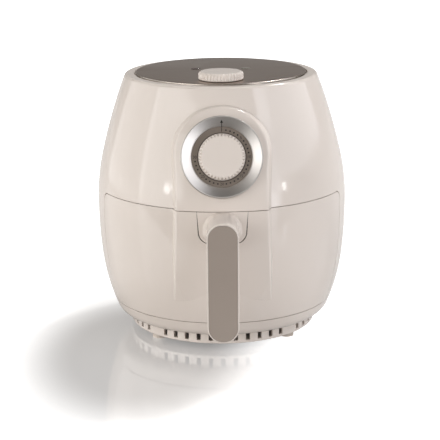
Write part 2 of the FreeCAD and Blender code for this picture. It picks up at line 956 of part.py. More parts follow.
# Drawer front: sector of the egg with the lower part of the panel, hollow behind the panel
front_low = dim.window_low + dim.seam_gap
front_high = dim.window_high - dim.seam_gap


def tongue_outline(gap=0):
    """U shape of the handle tongue, a little narrower at the bottom."""
    top = front_high + (0 if size(gap).value == 0 else 10)
    wide = dim.tongue_half + gap
    narrow = wide - dim.tongue_taper
    low = dim.tongue_low - gap
    corner = dim.tongue_corner + gap
    return [
        (-narrow, low + corner),
        Arc((corner - narrow, low), corner),
        (narrow - corner, low),
        Arc((narrow, low + corner), corner),
        (wide, top),
        (-wide, top),
    ]


def screw_points():
    """Where the drawer front is screwed to the pan, seen from the front."""
    return [(side * boss_x, height) for side in (-1, 1) for height in (boss_low, boss_high)]


def clear_inside(body):
    """Remove everything inside the drawer front's wall."""
    low = dim.panel_foot - 30
    inside = egg_line(low, 220, front_wall)
    inside += [(size(0), size(220)), (size(0), low)]
    spin(body, "Groove", new_sketch(body, "rear", [inside]))


def build_screw_bosses():
    """Bored bosses that run from the inner cover into the drawer front's wall."""
    body = doc.addObject("PartDesign::Body", "drawer_front_bosses")
    body.AllowCompound = True
    cover_face = dim.pan_front + dim.cover_thick
    circles = [(point, dim.boss_radius) for point in screw_points()]
    pad(body, new_sketch(body, "front", circles=circles, level=cover_face), dim.belly_radius - cover_face)
    outside = egg_line(front_low, front_high, front_wall / 2)
    outside += [(FAR, front_high), (FAR, front_low)]
    spin(body, "Groove", new_sketch(body, "side", [outside]), 60)
    circles = [(point, dim.screw_radius + dim.fit_gap) for point in screw_points()]
    bores = new_sketch(body, "front", circles=circles, level=cover_face)
    pocket(body, bores, dim.bore_depth, reverse=True)
    return body


def build_drawer_front():
    body = doc.addObject("PartDesign::Body", "drawer_front_form")
    add_panel(body)
    round_panel(body)
    steps = egg_line(front_low, front_high)
    steps += [(dim.belly_radius - 45, front_high), (dim.belly_radius - 45, front_low)]
    half_angle = dim.window_half_angle - dim.seam_angle
    spin(body, "Revolution", new_sketch(body, "side", [steps]), half_angle)
    clear_inside(body)
    above = new_sketch(body, "side", [box(60, front_high, FAR, 260)])
    spin(body, "Groove", above, 60)
    round_sector(body, half_angle, front_low, front_high)
    notch = new_sketch(body, "front", [tongue_outline(dim.notch_gap)], level=tongue_back - 20)
    pocket(body, notch, 60, reverse=True)
    bosses = build_screw_bosses()
    joined = doc.addObject("Part::MultiFuse", "drawer_front_joined")
    joined.Shapes = [body, bosses]
    core = doc.addObject("PartDesign::Body", "drawer_front_core")
    add_panel(core, dim.panel_wall)
    clear_inside(core)
    floor = dim.tongue_low - dim.panel_wall
    wide = 2 * panel_half
    below = new_sketch(core, "front", [box(-wide, floor, wide, dim.rim_height)], level=60)
    pocket(core, below, 100, reverse=True)
    shell = doc.addObject("Part::Cut", "drawer_front")
    shell.Base = joined
    shell.Tool = core
    shell.Label = "drawer_front"
    parts.append(shell)
    return shell


# Handle: tongue flush with the panel, neck and hanging grip in one moulding
inlay_top = neck_high - dim.inlay_border


def inlay_outline(gap=0):
    """Grip inlay seen from the front: half-round bottom, rounded top corners."""
    half = inlay_half + gap
    low = dim.grip_low + dim.grip_half
    top = inlay_top + gap
    corner = dim.neck_corner - dim.inlay_border + gap
    return [
        (0, low - half),
        Arc((half, low), half),
        (half, top - corner),
        Arc((half - corner, top), corner),
        (corner - half, top),
        Arc((-half, top - corner), corner),
        (-half, low),
        Arc((0, low - half), half),
    ]


def root_outline(half, low, high, low_corner, high_corner):
    """Section of the neck seen from the front, with softer corners at the top."""
    return [
        (low_corner - half, low),
        (half - low_corner, low),
        Arc((half, low + low_corner), low_corner),
        (half, high - high_corner),
        Arc((half - high_corner, high), high_corner),
        (high_corner - half, high),
        Arc((-half, high - high_corner), high_corner),
        (-half, low + low_corner),
        Arc((low_corner - half, low), low_corner),
    ]


def spread_root(body):
    """Let the neck spread softly where it leaves the tongue: a loft through three sections."""
    sections = []
    for depth, share in ((-dim.root_sink, 1.0), (dim.root_depth * 0.3, 0.3), (dim.root_depth, 0.0)):
        spread = dim.root_spread * share
        half = dim.grip_half + spread
        high = neck_high + dim.root_rise * share
        low = dim.neck_low - spread
        corners = (dim.root_corner + spread / 2, dim.neck_corner + spread / 2)
        outline = root_outline(half, low, high, *corners)
        sections.append(new_sketch(body, "front", [outline], level=panel_reach + depth))
    loft = body.newObject("PartDesign::AdditiveLoft", "AdditiveLoft")
    loft.Profile = sections[0]
    loft.Sections = sections[1:]
    finish(loft, 1)


def build_handle():
    body = new_body("handle")
    tongue = new_sketch(body, "front", [tongue_outline()], level=tongue_back)
    pad(body, tongue, 16)
    trim_to_panel(body)
    back = grip_front - dim.grip_thick
    turn = dim.neck_round
    root_x = tongue_back + 3
    profile = [
        (root_x, dim.neck_low),
        (back - turn, dim.neck_low),
        Arc((back, dim.neck_low - turn), turn, left=False),
        (back, dim.grip_low),
        (grip_front, dim.grip_low),
        (grip_front, neck_high),
        (root_x, neck_high),
    ]
    pad(body, new_sketch(body, "side", [profile]), 2 * dim.grip_half, both=True)

    def lengthwise(edge, height):
        middle = edge_middle(edge)
        straight = isinstance(edge.Curve, Part.Line) and abs(edge.Curve.Direction.y) > 0.99
        return straight and near(middle.z, height) and near(abs(middle.x), dim.grip_half)

    round_edges(body, lambda edge: lengthwise(edge, dim.grip_low), dim.grip_half - 0.2)
    round_edges(body, lambda edge: lengthwise(edge, neck_high), dim.neck_corner)
    face = grip_front
    round_edges(body, lambda edge: near(edge_middle(edge).y, -face), dim.grip_round)
    round_edges(body, lambda edge: near(edge_middle(edge).y, dim.grip_thick - face), dim.grip_back_round)
    spread_root(body)
    recess = new_sketch(body, "front", [inlay_outline(dim.inlay_gap)], level=face)
    pocket(body, recess, dim.inlay_thick - dim.inlay_proud)
    circles = [((side * dim.strap_hole, strap_screw), dim.screw_radius + dim.fit_gap) for side in (-1, 1)]
    bores = new_sketch(body, "front", circles=circles, level=tongue_back)
    pocket(body, bores, dim.tongue_bore, reverse=True)
    inlay = new_body("handle_inlay")
    outline = new_sketch(inlay, "front", [inlay_outline()], level=face + dim.inlay_proud)
    pad(inlay, outline, dim.inlay_thick, reverse=True)
    round_edges(inlay, lambda edge: near(edge_middle(edge).y, -(face + dim.inlay_proud)), dim.inlay_round)
    return body, inlay


# Knobs, dial and timer. Dial pieces are drawn on their own upright axis and tilted into place.
def build_knob(label):
    """Ribbed knob standing on its own axis, hollow below, bored for the spindle."""
    body = new_body(label)
    top = dim.knob_height
    bore = dim.spindle_radius + dim.running_gap
    bore_top = top - dim.knob_crown
    profile = [
        (dim.knob_cavity, size(0)),
        (dim.knob_radius, size(0)),
        (dim.knob_radius, top - dim.knob_round),
        Arc((dim.knob_radius - dim.knob_round, top), dim.knob_round),
        (0, top),
        (0, bore_top),
        (bore, bore_top),
        (bore, dim.knob_boss_low),
        (knob_boss, dim.knob_boss_low),
        (knob_boss, dim.knob_cavity_depth),
        (dim.knob_cavity, dim.knob_cavity_depth),
    ]
    spin(body, "Revolution", new_sketch(body, "rear", [profile]))
    groove = new_sketch(body, "top", circles=[((0, -dim.knob_radius - 0.1), dim.rib_groove)], level=top)
    cut = pocket(body, groove, top - dim.rib_foot)
    ring_pattern(body, [cut], dim.rib_count)
    return body


def rod(label, radius, low, high):
    """Plain round rod on its own upright axis."""
    bar = doc.addObject("Part::Cylinder", label)
    bar.Label = label
    bind(bar, "Radius", radius)
    bind(bar, "Height", size(high) - low)
    parts.append(bar)
    return bar


def hexagon(across, centre=(0, 0)):
    """Six corners round a centre; across is the distance between flats."""
    reach = across / root(size(3))
    return [(reach * cosine(size(60 * turn)) + centre[0], reach * sine(size(60 * turn)) + centre[1])
            for turn in range(6)]


def place(body, x=0, y=0, z=0):
    """Put a sub-part at a point measured from the body axis on the table."""
    for name, value in (("x", x), ("y", size(y) + axis_shift), ("z", z)):
        bind(body, "Placement.Base." + name, value)


def place_on_dial(body, rise=0):
    """Tilt a sub-part onto the dial axis, raised along it from the panel surface."""
    lean = dim.dial_tilt
    body.Placement = FreeCAD.Placement(FreeCAD.Vector(), FreeCAD.Rotation(FreeCAD.Vector(1, 0, 0), 75))
    bind(body, "Placement.Rotation.Angle", 90 - lean)
    place(body, 0, -dial_reach - size(rise) * cosine(lean), dim.dial_height + size(rise) * sine(lean))


def build_dial():
    bezel = new_body("timer_bezel")
    inner = scale_radius + dim.fit_gap
    outer = bezel_radius
    profile = [
        (inner, -dim.bezel_depth),
        (outer, -dim.bezel_depth),
        (outer, dim.bezel_proud - dim.bezel_edge),
        Arc((outer - dim.bezel_edge, dim.bezel_proud), dim.bezel_edge),
        (outer - 2 * dim.bezel_edge, dim.bezel_proud),
        Arc((inner, -dim.scale_sink), dim.bezel_dish, left=False),
    ]
    spin(bezel, "Revolution", new_sketch(bezel, "rear", [profile]))
    place_on_dial(bezel)
    scale = new_body("timer_scale")
    rings = [((0, 0), scale_radius), ((0, 0), bush_radius)]
    thick = dim.bezel_depth - dim.scale_sink
    pad(scale, new_sketch(scale, "top", circles=rings, level=-dim.bezel_depth), thick)
    place_on_dial(scale)
    timer = new_body("timer_body")
    half = dim.timer_half
    seat = -(dim.bezel_depth + dim.dial_floor)
    outline = rounded_box(-half, -half, half, half, dim.case_corner)
    pad(timer, new_sketch(timer, "top", [outline], level=seat), dim.timer_depth, reverse=True)
    bore_radius = dim.spindle_radius + dim.running_gap
    bore = new_sketch(timer, "top", circles=[((0, 0), bore_radius)], level=seat)
    pocket(timer, bore, dim.timer_depth - dim.case_floor)
    place_on_dial(timer)
    knob_seat = dim.knob_lift - dim.scale_sink
    knob = build_knob("timer_knob")
    place_on_dial(knob, knob_seat)
    foot = seat - dim.timer_depth + dim.case_floor + dim.spindle_foot
    tip = knob_seat + dim.knob_height - dim.knob_crown - dim.end_gap
    spindle = rod("timer_spindle", dim.spindle_radius, foot, tip)
    place_on_dial(spindle, foot)


plate_top = pedestal_height + dim.plate_thick


def build_top():
    plate = new_body("top_plate")
    edge = plate_radius
    profile = [
        (0, pedestal_height),
        (edge - dim.plate_thick, pedestal_height),
        (edge - dim.plate_thick, plate_top - dim.plate_lip),
        (edge, plate_top - dim.plate_lip),
        (edge, plate_top - dim.plate_round),
        Arc((edge - dim.plate_round, plate_top), dim.plate_round),
        (0, plate_top),
    ]
    spin(plate, "Revolution", new_sketch(plate, "rear", [profile]))
    lamps = [lamp_outline(side, dim.fit_gap) for side in (-1, 1)]
    nut_hole = ((0, -control_y), nut_across / 2 + dim.nut_room)
    pocket(plate, new_sketch(plate, "top", lamps, [nut_hole], level=plate_top + 1), 5)
    place(plate)
    for side, label in ((-1, "lamp_heat"), (1, "lamp_power")):
        lens = new_body(label)
        low = pedestal_under
        height = plate_top + dim.lamp_proud - low
        pad(lens, new_sketch(lens, "top", [lamp_outline(side)], level=low), height)
        round_edges(lens, lambda edge: near(edge_middle(edge).z, plate_top + dim.lamp_proud), dim.lamp_round)
        place(lens)
    control = new_body("thermostat")
    half_x = dim.thermostat_x
    half_y = dim.thermostat_y
    outline = rounded_box(-half_x, -half_y, half_x, half_y, dim.case_corner)
    deep = dim.thermostat_depth
    pad(control, new_sketch(control, "top", [outline], level=-deep), deep)
    collar = dim.wall + dim.collar_proud
    pad(control, new_sketch(control, "top", circles=[((0, 0), collar_radius)]), collar)
    bore = new_sketch(control, "top", circles=[((0, 0), dim.spindle_radius + dim.running_gap)], level=collar)
    pocket(control, bore, collar + deep - dim.case_floor)
    place(control, 0, -control_y, pedestal_under)
    nut = new_body("thermostat_nut")
    hole = [((0, 0), collar_radius + dim.fit_gap)]
    pad(nut, new_sketch(nut, "top", [hexagon(nut_across)], hole), dim.nut_thick)
    place(nut, 0, -control_y, pedestal_height)
    knob_seat = plate_top + dim.knob_lift
    knob = build_knob("temperature_knob")
    place(knob, 0, -control_y, knob_seat)
    foot = pedestal_under - deep + dim.case_floor + dim.spindle_foot
    top = knob_seat + dim.knob_height - dim.knob_crown - dim.end_gap
    spindle = rod("thermostat_spindle", dim.spindle_radius, foot, top)
    place(spindle, 0, -control_y, foot)


# Base ring with air slots, feet and screws. The base is turned so that the first slot of each
# quarter lies at the body's own front; the four feet stand near where slots are left out.
slot_step = size(90) / (dim.quarter_slots + 1)
quarter_turn = (dim.quarter_slots - 1) * slot_step
base_turn = quarter_turn / 2


def foot_points(turn=0):
    """The two front feet, right and left, in a frame turned clockwise seen from above."""
    bearings = [size(turn) - 90 + dim.foot_bearing, size(turn) - 90 - dim.foot_bearing]
    return [(foot_circle * cosine(bearing), foot_circle * sine(bearing)) for bearing in bearings]


def build_base():
    base = new_body("base")
    low = dim.foot_height
    inner = base_radius - dim.base_wall
    profile = [
        (0, low),
        (base_radius - dim.base_round, low),
        Arc((base_radius, low + dim.base_round), dim.base_round),
        (base_radius, skirt),
        (inner, skirt),
        (inner, low + dim.base_floor),
        (0, low + dim.base_floor),
    ]
    spin(base, "Revolution", new_sketch(base, "rear", [profile]))
    points = foot_points(base_turn)
    post = new_sketch(base, "top", circles=[(point, dim.post_radius) for point in points], level=low)
    stand = pad(base, post, liner_floor - low)
    holes = [(point, dim.screw_radius + dim.fit_gap) for point in points]
    bore = new_sketch(base, "top", circles=holes, level=liner_floor)
    drill = pocket(base, bore, liner_floor - low)
    wide = dim.intake_width / 2
    # The first intake slit points straight to the front, between the feet
    turn_cos = cosine(base_turn)
    turn_sin = sine(base_turn)
    corners = box(-wide, -dim.intake_far, wide, -dim.intake_near)
    slit = [(x * turn_cos - y * turn_sin, x * turn_sin + y * turn_cos) for x, y in corners]
    vent = new_sketch(base, "top", [slit], level=low + dim.base_floor)
    intake = pocket(base, vent, dim.base_floor + 1)
    ring_pattern(base, [stand, drill], 2)
    ring_pattern(base, [intake], dim.intake_count)
    half = dim.slot_width / 2
    mouth = box(-half, low + dim.slot_sill, half, skirt + 1)
    slot = new_sketch(base, "front", [mouth], level=inner - 2)
    gap = pocket(base, slot, dim.base_wall + 6, reverse=True)
    quarter = base.newObject("PartDesign::PolarPattern", "Quarter")
    around = base.newObject("PartDesign::PolarPattern", "Around")
    axis = [item for item in base.Origin.OriginFeatures if item.Role == "Z_Axis"][0]
    for pattern, angle, count in ((quarter, quarter_turn, dim.quarter_slots), (around, size(360), size(4))):
        pattern.Axis = (axis, [""])
        bind(pattern, "Angle", angle)
        bind(pattern, "Occurrences", count)
    slots = base.newObject("PartDesign::MultiTransform", "Slots")
    slots.Originals = [gap]
    slots.Transformations = [quarter, around]
    base.Tip = slots
    doc.recompute()
    base.Placement = FreeCAD.Placement(FreeCAD.Vector(), FreeCAD.Rotation(FreeCAD.Vector(0, 0, -1), 37.5))
    bind(base, "Placement.Rotation.Angle", base_turn)
    place(base)
    build_feet()


def screw_set(label, points, plane, level, shank, reverse=False, count=None):
    """Round-headed screws: heads against the level, shanks along the plane's normal."""
    body = new_body(label)
    body.AllowCompound = True
    heads = [(point, dim.screw_head) for point in points]
    shanks = [(point, dim.screw_radius) for point in points]
    items = [pad(body, new_sketch(body, plane, circles=shanks, level=level), shank, reverse=reverse)]
    items.append(pad(body, new_sketch(body, plane, circles=heads, level=level), dim.head_height,
                     reverse=not reverse))
    if count:
        ring_pattern(body, items, count)
    place(body)
    return body


def build_feet():
    feet = new_body("feet")
    feet.AllowCompound = True
    points = foot_points()
    discs = [(point, dim.foot_radius) for point in points]
    stand = pad(feet, new_sketch(feet, "top", circles=discs), dim.foot_height)
    rooms = [(point, dim.screw_head + dim.fit_gap) for point in points]
    head_room = pocket(feet, new_sketch(feet, "top", circles=rooms), dim.foot_sink, reverse=True)
    holes = [(point, dim.screw_radius + dim.fit_gap) for point in points]
    bore = pocket(feet, new_sketch(feet, "top", circles=holes), dim.foot_height + 1, reverse=True)
    ring_pattern(feet, [stand, head_room, bore], 2)
    place(feet)
    screw_set("foot_screws", points, "top", dim.foot_sink, dim.foot_screw, count=2)
    screw_set("liner_screws", points, "top", liner_floor + dim.sheet, dim.liner_screw, reverse=True, count=2)


# Cooking chamber: front frame, liner, rails and dome
chamber_inset = dim.wall + 2 * dim.fit_gap + dim.frame_thick


def trim_inside_frame(body):
    """Cut sheet work back to just inside the front frame."""
    outside = egg_line(liner_floor - 4, liner_top + 6, chamber_inset)
    outside += [(FAR, liner_top + 6), (FAR, liner_floor - 4)]
    spin(body, "Groove", new_sketch(body, "side", [outside]), 88)


def chamber_outline(inset, front):
    """Plan of the chamber: straight front, rounded rear corners."""
    half = liner_half - inset
    corner = liner_corner - inset
    return [
        (-half, -size(front)),
        (half, -size(front)),
        (half, half - corner),
        Arc((half - corner, half), corner),
        (corner - half, half),
        Arc((-half, half - corner), corner),
    ]


def build_chamber():
    frame = new_body("front_frame")
    low = dim.window_low - dim.frame_lap
    high = dim.window_high + dim.frame_lap
    inset = dim.wall + dim.fit_gap
    steps = egg_line(low, high, inset)
    steps += turned_round(egg_line(low, high, inset + dim.frame_thick))
    spin(frame, "Revolution", new_sketch(frame, "side", [steps]), dim.frame_half_angle)
    sill = liner_floor + dim.sheet
    half = liner_half - dim.sheet
    mouth = box(-half, sill, half, dim.window_high)
    pocket(frame, new_sketch(frame, "front", [mouth], level=30), dim.belly_radius, reverse=True)
    place(frame)
    liner = new_body("chamber_liner")
    height = liner_top - liner_floor
    plan = new_sketch(liner, "top", [chamber_outline(size(0), dim.belly_radius)], level=liner_floor)
    pad(liner, plan, height)
    room = new_sketch(liner, "top", [chamber_outline(dim.sheet, dim.belly_radius + 10)], level=liner_top)
    pocket(liner, room, height - dim.sheet)
    trim_inside_frame(liner)
    points = [(side * along, side * across) for along, across in foot_points() for side in (-1, 1)]
    holes = [(point, dim.screw_radius + dim.fit_gap) for point in points]
    pocket(liner, new_sketch(liner, "top", circles=holes, level=sill + 1), 3)
    place(liner)
    rails = new_body("guide_rails")
    rails.AllowCompound = True
    wide = dim.rail_width / 2
    back = liner_half - dim.sheet - dim.rail_back_gap
    strips = [box(side * rail_x - wide, -dim.rail_front, side * rail_x + wide, back) for side in (-1, 1)]
    pad(rails, new_sketch(rails, "top", strips, level=sill), dim.rail_height)
    place(rails)
    build_dome()


dome_top = liner_top + dim.dome_height
bracket_height = dome_top + dim.bracket_rise
cooler_height = dome_top + dim.cooler_rise


def lead_points():
    """Where the two heater leads rise through the dome."""
    turn = size(90) - dim.lead_angle
    return [(radius * cosine(turn) - dim.bend_radius * sine(turn),
             radius * sine(turn) + dim.bend_radius * cosine(turn)) for radius in (coil_outer, coil_inner)]


def build_dome():
    dome = new_body("chamber_dome")
    low = liner_top
    plan = new_sketch(dome, "top", [chamber_outline(size(0), dim.belly_radius)], level=low)
    pad(dome, plan, dim.sheet)
    trim_inside_frame(dome)
    outer = dome_radius
    inner = outer - dim.sheet
    mouth = new_sketch(dome, "top", circles=[((0, 0), inner)], level=low)
    pocket(dome, mouth, 5, reverse=True)
    corner = dim.dome_corner
    under = dome_top - dim.sheet
    profile = [
        (inner, low),
        (outer, low),
        (outer, dome_top - corner),
        Arc((outer - corner, dome_top), corner),
        (bush_radius, dome_top),
        (bush_radius, under),
        (outer - corner, under),
        Arc((inner, dome_top - corner), corner - dim.sheet, left=False),
    ]
    spin(dome, "Revolution", new_sketch(dome, "rear", [profile]))
    holes = [(point, dim.tube_radius + dim.fit_gap) for point in lead_points()]
    pocket(dome, new_sketch(dome, "top", circles=holes, level=dome_top + 1), 5)
    place(dome)


def build_heater():
    """Tubular element: outer ring, hairpin, inner ring, both ends bent up through the dome."""
    radius = {"out": coil_outer.value, "in": coil_inner.value}
    bend = dim.bend_radius.value
    level = heater_height.value
    top = (dome_top + dim.terminal_rise).value
    start = 90 - dim.lead_angle.value
    stop = 90 + dim.lead_angle.value

    def ring_point(reach, angle):
        turn = math.radians(angle)
        return FreeCAD.Vector(reach * math.cos(turn), reach * math.sin(turn), level)

    def lead(reach):
        """Bend and straight from the start of a ring up to its terminal."""
        turn = math.radians(start)
        along = FreeCAD.Vector(-math.sin(turn), math.cos(turn), 0)
        upward = FreeCAD.Vector(0, 0, 1)
        foot = ring_point(reach, start)
        half = math.sqrt(0.5)
        middle = foot + along * (bend * half) + upward * (bend * (1 - half))
        head = foot + (along + upward) * bend
        tip = FreeCAD.Vector(head.x, head.y, top)
        return Part.Arc(foot, middle, head).toShape(), Part.LineSegment(head, tip).toShape()

    def ring(reach):
        """Two arcs from the lead round the front to the hairpin."""
        marks = [start, start - 82.5, start - 165, (stop - 360 + start - 165) / 2, stop - 360]
        spots = [ring_point(reach, angle) for angle in marks]
        return [Part.Arc(*spots[0:3]).toShape(), Part.Arc(*spots[2:5]).toShape()]

    middle_reach = (radius["out"] + radius["in"]) / 2
    turn = math.radians(stop)
    nose = ring_point(middle_reach, stop)
    nose = nose + FreeCAD.Vector(math.sin(turn), -math.cos(turn), 0) * ((radius["out"] - radius["in"]) / 2)
    hairpin = Part.Arc(ring_point(radius["out"], stop), nose, ring_point(radius["in"], stop)).toShape()
    outer_lead = lead(radius["out"])
    inner_lead = lead(radius["in"])
    edges = [outer_lead[1], outer_lead[0]] + ring(radius["out"]) + [hairpin]
    edges += list(reversed(ring(radius["in"]))) + [inner_lead[0], inner_lead[1]]
    path = Part.Wire(Part.__sortEdges__(edges))
    first = path.OrderedVertexes[0].Point
    section = Part.Wire(Part.makeCircle(dim.tube_radius.value, first, FreeCAD.Vector(0, 0, 1)))
    element = doc.addObject("Part::Feature", "heating_element")
    element.Label = "heating_element"
    element.Shape = path.makePipeShell([section], True, False)
    parts.append(element)
    place(element)
    clips = new_body("heater_clips")
    clips.AllowCompound = True
    room = dim.tube_radius + dim.fit_gap
    reach = coil_outer
    level = heater_height
    hook = [
        (reach + room, dome_top - dim.sheet),
        (reach + room, level - room),
        (reach - dim.clip_hook, level - room),
        (reach - dim.clip_hook, level - room - dim.sheet),
        (reach + room + dim.sheet, level - room - dim.sheet),
        (reach + room + dim.sheet, dome_top - dim.sheet),
    ]
    strip = pad(clips, new_sketch(clips, "side", [hook]), dim.clip_width, both=True)
    ring_pattern(clips, [strip], dim.clip_count)
    place(clips)


def build_fan(label, radius, low, height, blades, disc):
    """Radial blades on a hub, with or without a back disc."""
    fan = new_body(label)
    bore = dim.spindle_radius + dim.running_gap
    hub = new_sketch(fan, "top", circles=[((0, 0), dim.hub_radius)], level=low)
    pad(fan, hub, height)
    if disc:
        back = new_sketch(fan, "top", circles=[((0, 0), radius)], level=low + height)
        pad(fan, back, dim.blade_thick)
    half = dim.blade_thick / 2
    blade = new_sketch(fan, "top", [box(-half, -radius, half, 2 - dim.hub_radius)], level=low)
    vane = pad(fan, blade, height)
    ring_pattern(fan, [vane], blades)
    shaft = new_sketch(fan, "top", circles=[((0, 0), bore)], level=low - 1)
    pocket(fan, shaft, 40, reverse=True)
    place(fan)


def build_motor():
    bracket = new_body("motor_bracket")
    half = dim.bracket_half
    step = dim.strap_thick
    top = bracket_height
    foot = dim.bracket_half + dim.bracket_foot
    hat = [
        (-foot, dome_top),
        (step - half, dome_top),
        (step - half, top - step),
        (half - step, top - step),
        (half - step, dome_top),
        (foot, dome_top),
        (foot, dome_top + step),
        (half, dome_top + step),
        (half, top),
        (-half, top),
        (-half, dome_top + step),
        (-foot, dome_top + step),
    ]
    pad(bracket, new_sketch(bracket, "front", [hat]), dim.bracket_width, both=True)
    hole = new_sketch(bracket, "top", circles=[((0, 0), bush_radius)], level=top + 1)
    pocket(bracket, hole, 5)
    place(bracket)
    motor = new_body("motor_body")
    pad(motor, new_sketch(motor, "top", circles=[((0, 0), dim.motor_radius)], level=top), dim.motor_height)
    cap = top + dim.motor_height
    pad(motor, new_sketch(motor, "top", circles=[((0, 0), dim.motor_radius / 2)], level=cap), dim.motor_cap)
    bore = new_sketch(motor, "top", circles=[((0, 0), dim.spindle_radius + dim.running_gap)], level=top - 1)
    pocket(motor, bore, 40, reverse=True)
    place(motor)
    shaft_low = fan_height - dim.nut_thick - dim.spindle_foot
    shaft = rod("motor_shaft", dim.spindle_radius, shaft_low, cap + dim.shaft_end)
    place(shaft, 0, 0, shaft_low)
    nut = new_body("fan_nut")
    hole = [((0, 0), dim.spindle_radius + dim.running_gap)]
    outline = hexagon(nut_across)
    pad(nut, new_sketch(nut, "top", [outline], hole, level=fan_height - dim.nut_thick), dim.nut_thick)
    place(nut)
    cutout = new_body("thermal_cutout")
    spot = (dim.cutout_x, dim.cutout_y)
    disc = new_sketch(cutout, "top", circles=[(spot, dim.cutout_radius)], level=dome_top)
    pad(cutout, disc, dim.cutout_height)
    place(cutout)


def build_rear():
    grille = new_body("vent_grille")
    behind = dim.wall + dim.fit_gap
    back = behind + dim.sheet
    low = dim.vent_low + dim.fit_gap
    high = dim.vent_high - dim.fit_gap
    steps = egg_line(low, high) + turned_round(egg_line(low, high, back))
    spin(grille, "Revolution", new_sketch(grille, "rear", [steps]), dim.vent_half_angle - dim.seam_angle)
    low = dim.vent_low - dim.grille_lap
    high = dim.vent_high + dim.grille_lap
    steps = egg_line(low, high, behind) + turned_round(egg_line(low, high, back))
    reach = dim.vent_half_angle + dim.grille_lap_angle
    spin(grille, "Revolution", new_sketch(grille, "rear", [steps]), reach)
    pitch = (dim.vent_high - dim.vent_low) / dim.vent_slots
    sill = dim.vent_low + pitch / 4
    half = egg_radius(dim.vent_high) * sine(dim.vent_half_angle) - 5
    opening = box(-half, sill, half, sill + pitch / 2)
    slot = new_sketch(grille, "front", [opening], level=40 - dim.belly_radius)
    louvre = pocket(grille, slot, 60)
    row_pattern(grille, [louvre], "Z_Axis", pitch * (dim.vent_slots - 1), dim.vent_slots)
    place(grille)
    gland = new_body("cord_gland")
    gap = dim.fit_gap
    profile = [
        (dim.cord_radius, -dim.gland_depth),
        (dim.gland_radius, -dim.gland_depth),
        (dim.gland_radius, gap),
        (gland_flange, gap),
        (gland_flange, gap + dim.gland_proud / 2),
        (dim.gland_radius, gap + dim.gland_proud),
        (dim.cord_radius, gap + dim.gland_proud),
    ]
    spin(gland, "Revolution", new_sketch(gland, "rear", [profile]))
    turn = FreeCAD.Rotation(FreeCAD.Vector(-1, 0, 0), 96)
    gland.Placement = FreeCAD.Placement(FreeCAD.Vector(), turn)
    bind(gland, "Placement.Rotation.Angle", 90 + dim.gland_tilt)
    place(gland, 0, egg_radius(dim.gland_height), dim.gland_height)


# Pan, inner cover and basket
def tub_outline(half, front, back, corner, front_corner, inset=0):
    """Plan of a tub with its own corner radius at the front and at the back."""
    half = half - inset
    front = front - inset
    back = back - inset
    corner = corner - inset
    front_corner = front_corner - inset
    return [
        (front_corner - half, -front),
        (half - front_corner, -front),
        Arc((half, front_corner - front), front_corner),
        (half, back - corner),
        Arc((half - corner, back), corner),
        (corner - half, back),
        Arc((-half, back - corner), corner),
        (-half, front_corner - front),
        Arc((front_corner - half, -front), front_corner),
    ]


def build_pan():
    pan = new_body("pan")
    sizes = (dim.pan_half, dim.pan_front, pan_back, dim.pan_corner, dim.pan_front_corner)
    low = pan_floor
    top = dim.pan_top
    pad(pan, new_sketch(pan, "top", [tub_outline(*sizes)], level=low), top - low)
    round_edges(pan, lambda edge: near(edge_middle(edge).z, low), dim.pan_round)
    hollow_out(pan, lambda face: near(face.CenterOfMass.z, top), dim.sheet)
    edges = [pan_rim_outline(), tub_outline(*sizes, inset=dim.sheet)]
    pad(pan, new_sketch(pan, "top", edges, level=top - dim.sheet), dim.sheet)
    holes = [(point, dim.screw_radius + dim.fit_gap) for point in screw_points()]
    pocket(pan, new_sketch(pan, "front", circles=holes, level=dim.pan_front - 4), 8, reverse=True)
    place(pan)
    cover = new_body("inner_cover")
    half = cover_half
    plate = rounded_box(-half, cover_low, half, cover_high, dim.cover_corner)
    pad(cover, new_sketch(cover, "front", [plate], holes, level=dim.pan_front), dim.cover_thick)
    place(cover)
    screw_set("drawer_screws", screw_points(), "front", dim.pan_front - dim.sheet, dim.drawer_screw)


def pan_rim_outline():
    """Pan plan with a rim on the sides and back; the front stays flush for the inner cover."""
    rim = dim.pan_rim
    front_corner = dim.pan_front_corner
    corner = dim.pan_corner + rim
    half = dim.pan_half + rim
    back = pan_back + rim
    start = front_corner - dim.pan_front
    return [
        (front_corner - dim.pan_half, -dim.pan_front),
        (dim.pan_half - front_corner, -dim.pan_front),
        Arc((dim.pan_half, start), front_corner),
        (half, start + rim),
        (half, back - corner),
        Arc((half - corner, back), corner),
        (corner - half, back),
        Arc((-half, back - corner), corner),
        (-half, start + rim),
        (-dim.pan_half, start),
        Arc((front_corner - dim.pan_half, -dim.pan_front), front_corner),
    ]


def build_basket():
    basket = new_body("basket")
    corner = basket_corner
    sizes = (basket_half, basket_front, basket_back, corner, corner)
    low = basket_floor
    top = basket_top
    pad(basket, new_sketch(basket, "top", [tub_outline(*sizes)], level=low), top - low)
    round_edges(basket, lambda edge: near(edge_middle(edge).z, low), dim.basket_round)
    inner = new_sketch(basket, "top", [tub_outline(*sizes, inset=dim.sheet)], level=top)
    pocket(basket, inner, top - low - dim.sheet)
    opening = dim.sheet + dim.basket_ledge
    mouth = new_sketch(basket, "top", [tub_outline(*sizes, inset=opening)], level=low + dim.sheet + 1)
    pocket(basket, mouth, 5)
    rivets = [((side * dim.strap_hole, strap_rivet), dim.screw_radius + dim.fit_gap) for side in (-1, 1)]
    pocket(basket, new_sketch(basket, "front", circles=rivets, level=basket_front - 5), 8, reverse=True)
    place(basket)
    grate = new_body("basket_floor")
    plate = tub_outline(*sizes, inset=dim.sheet + dim.fit_gap)
    level = low + dim.sheet
    pad(grate, new_sketch(grate, "top", [plate], level=level), dim.sheet)
    build_grate_slots(grate, level)
    place(grate)


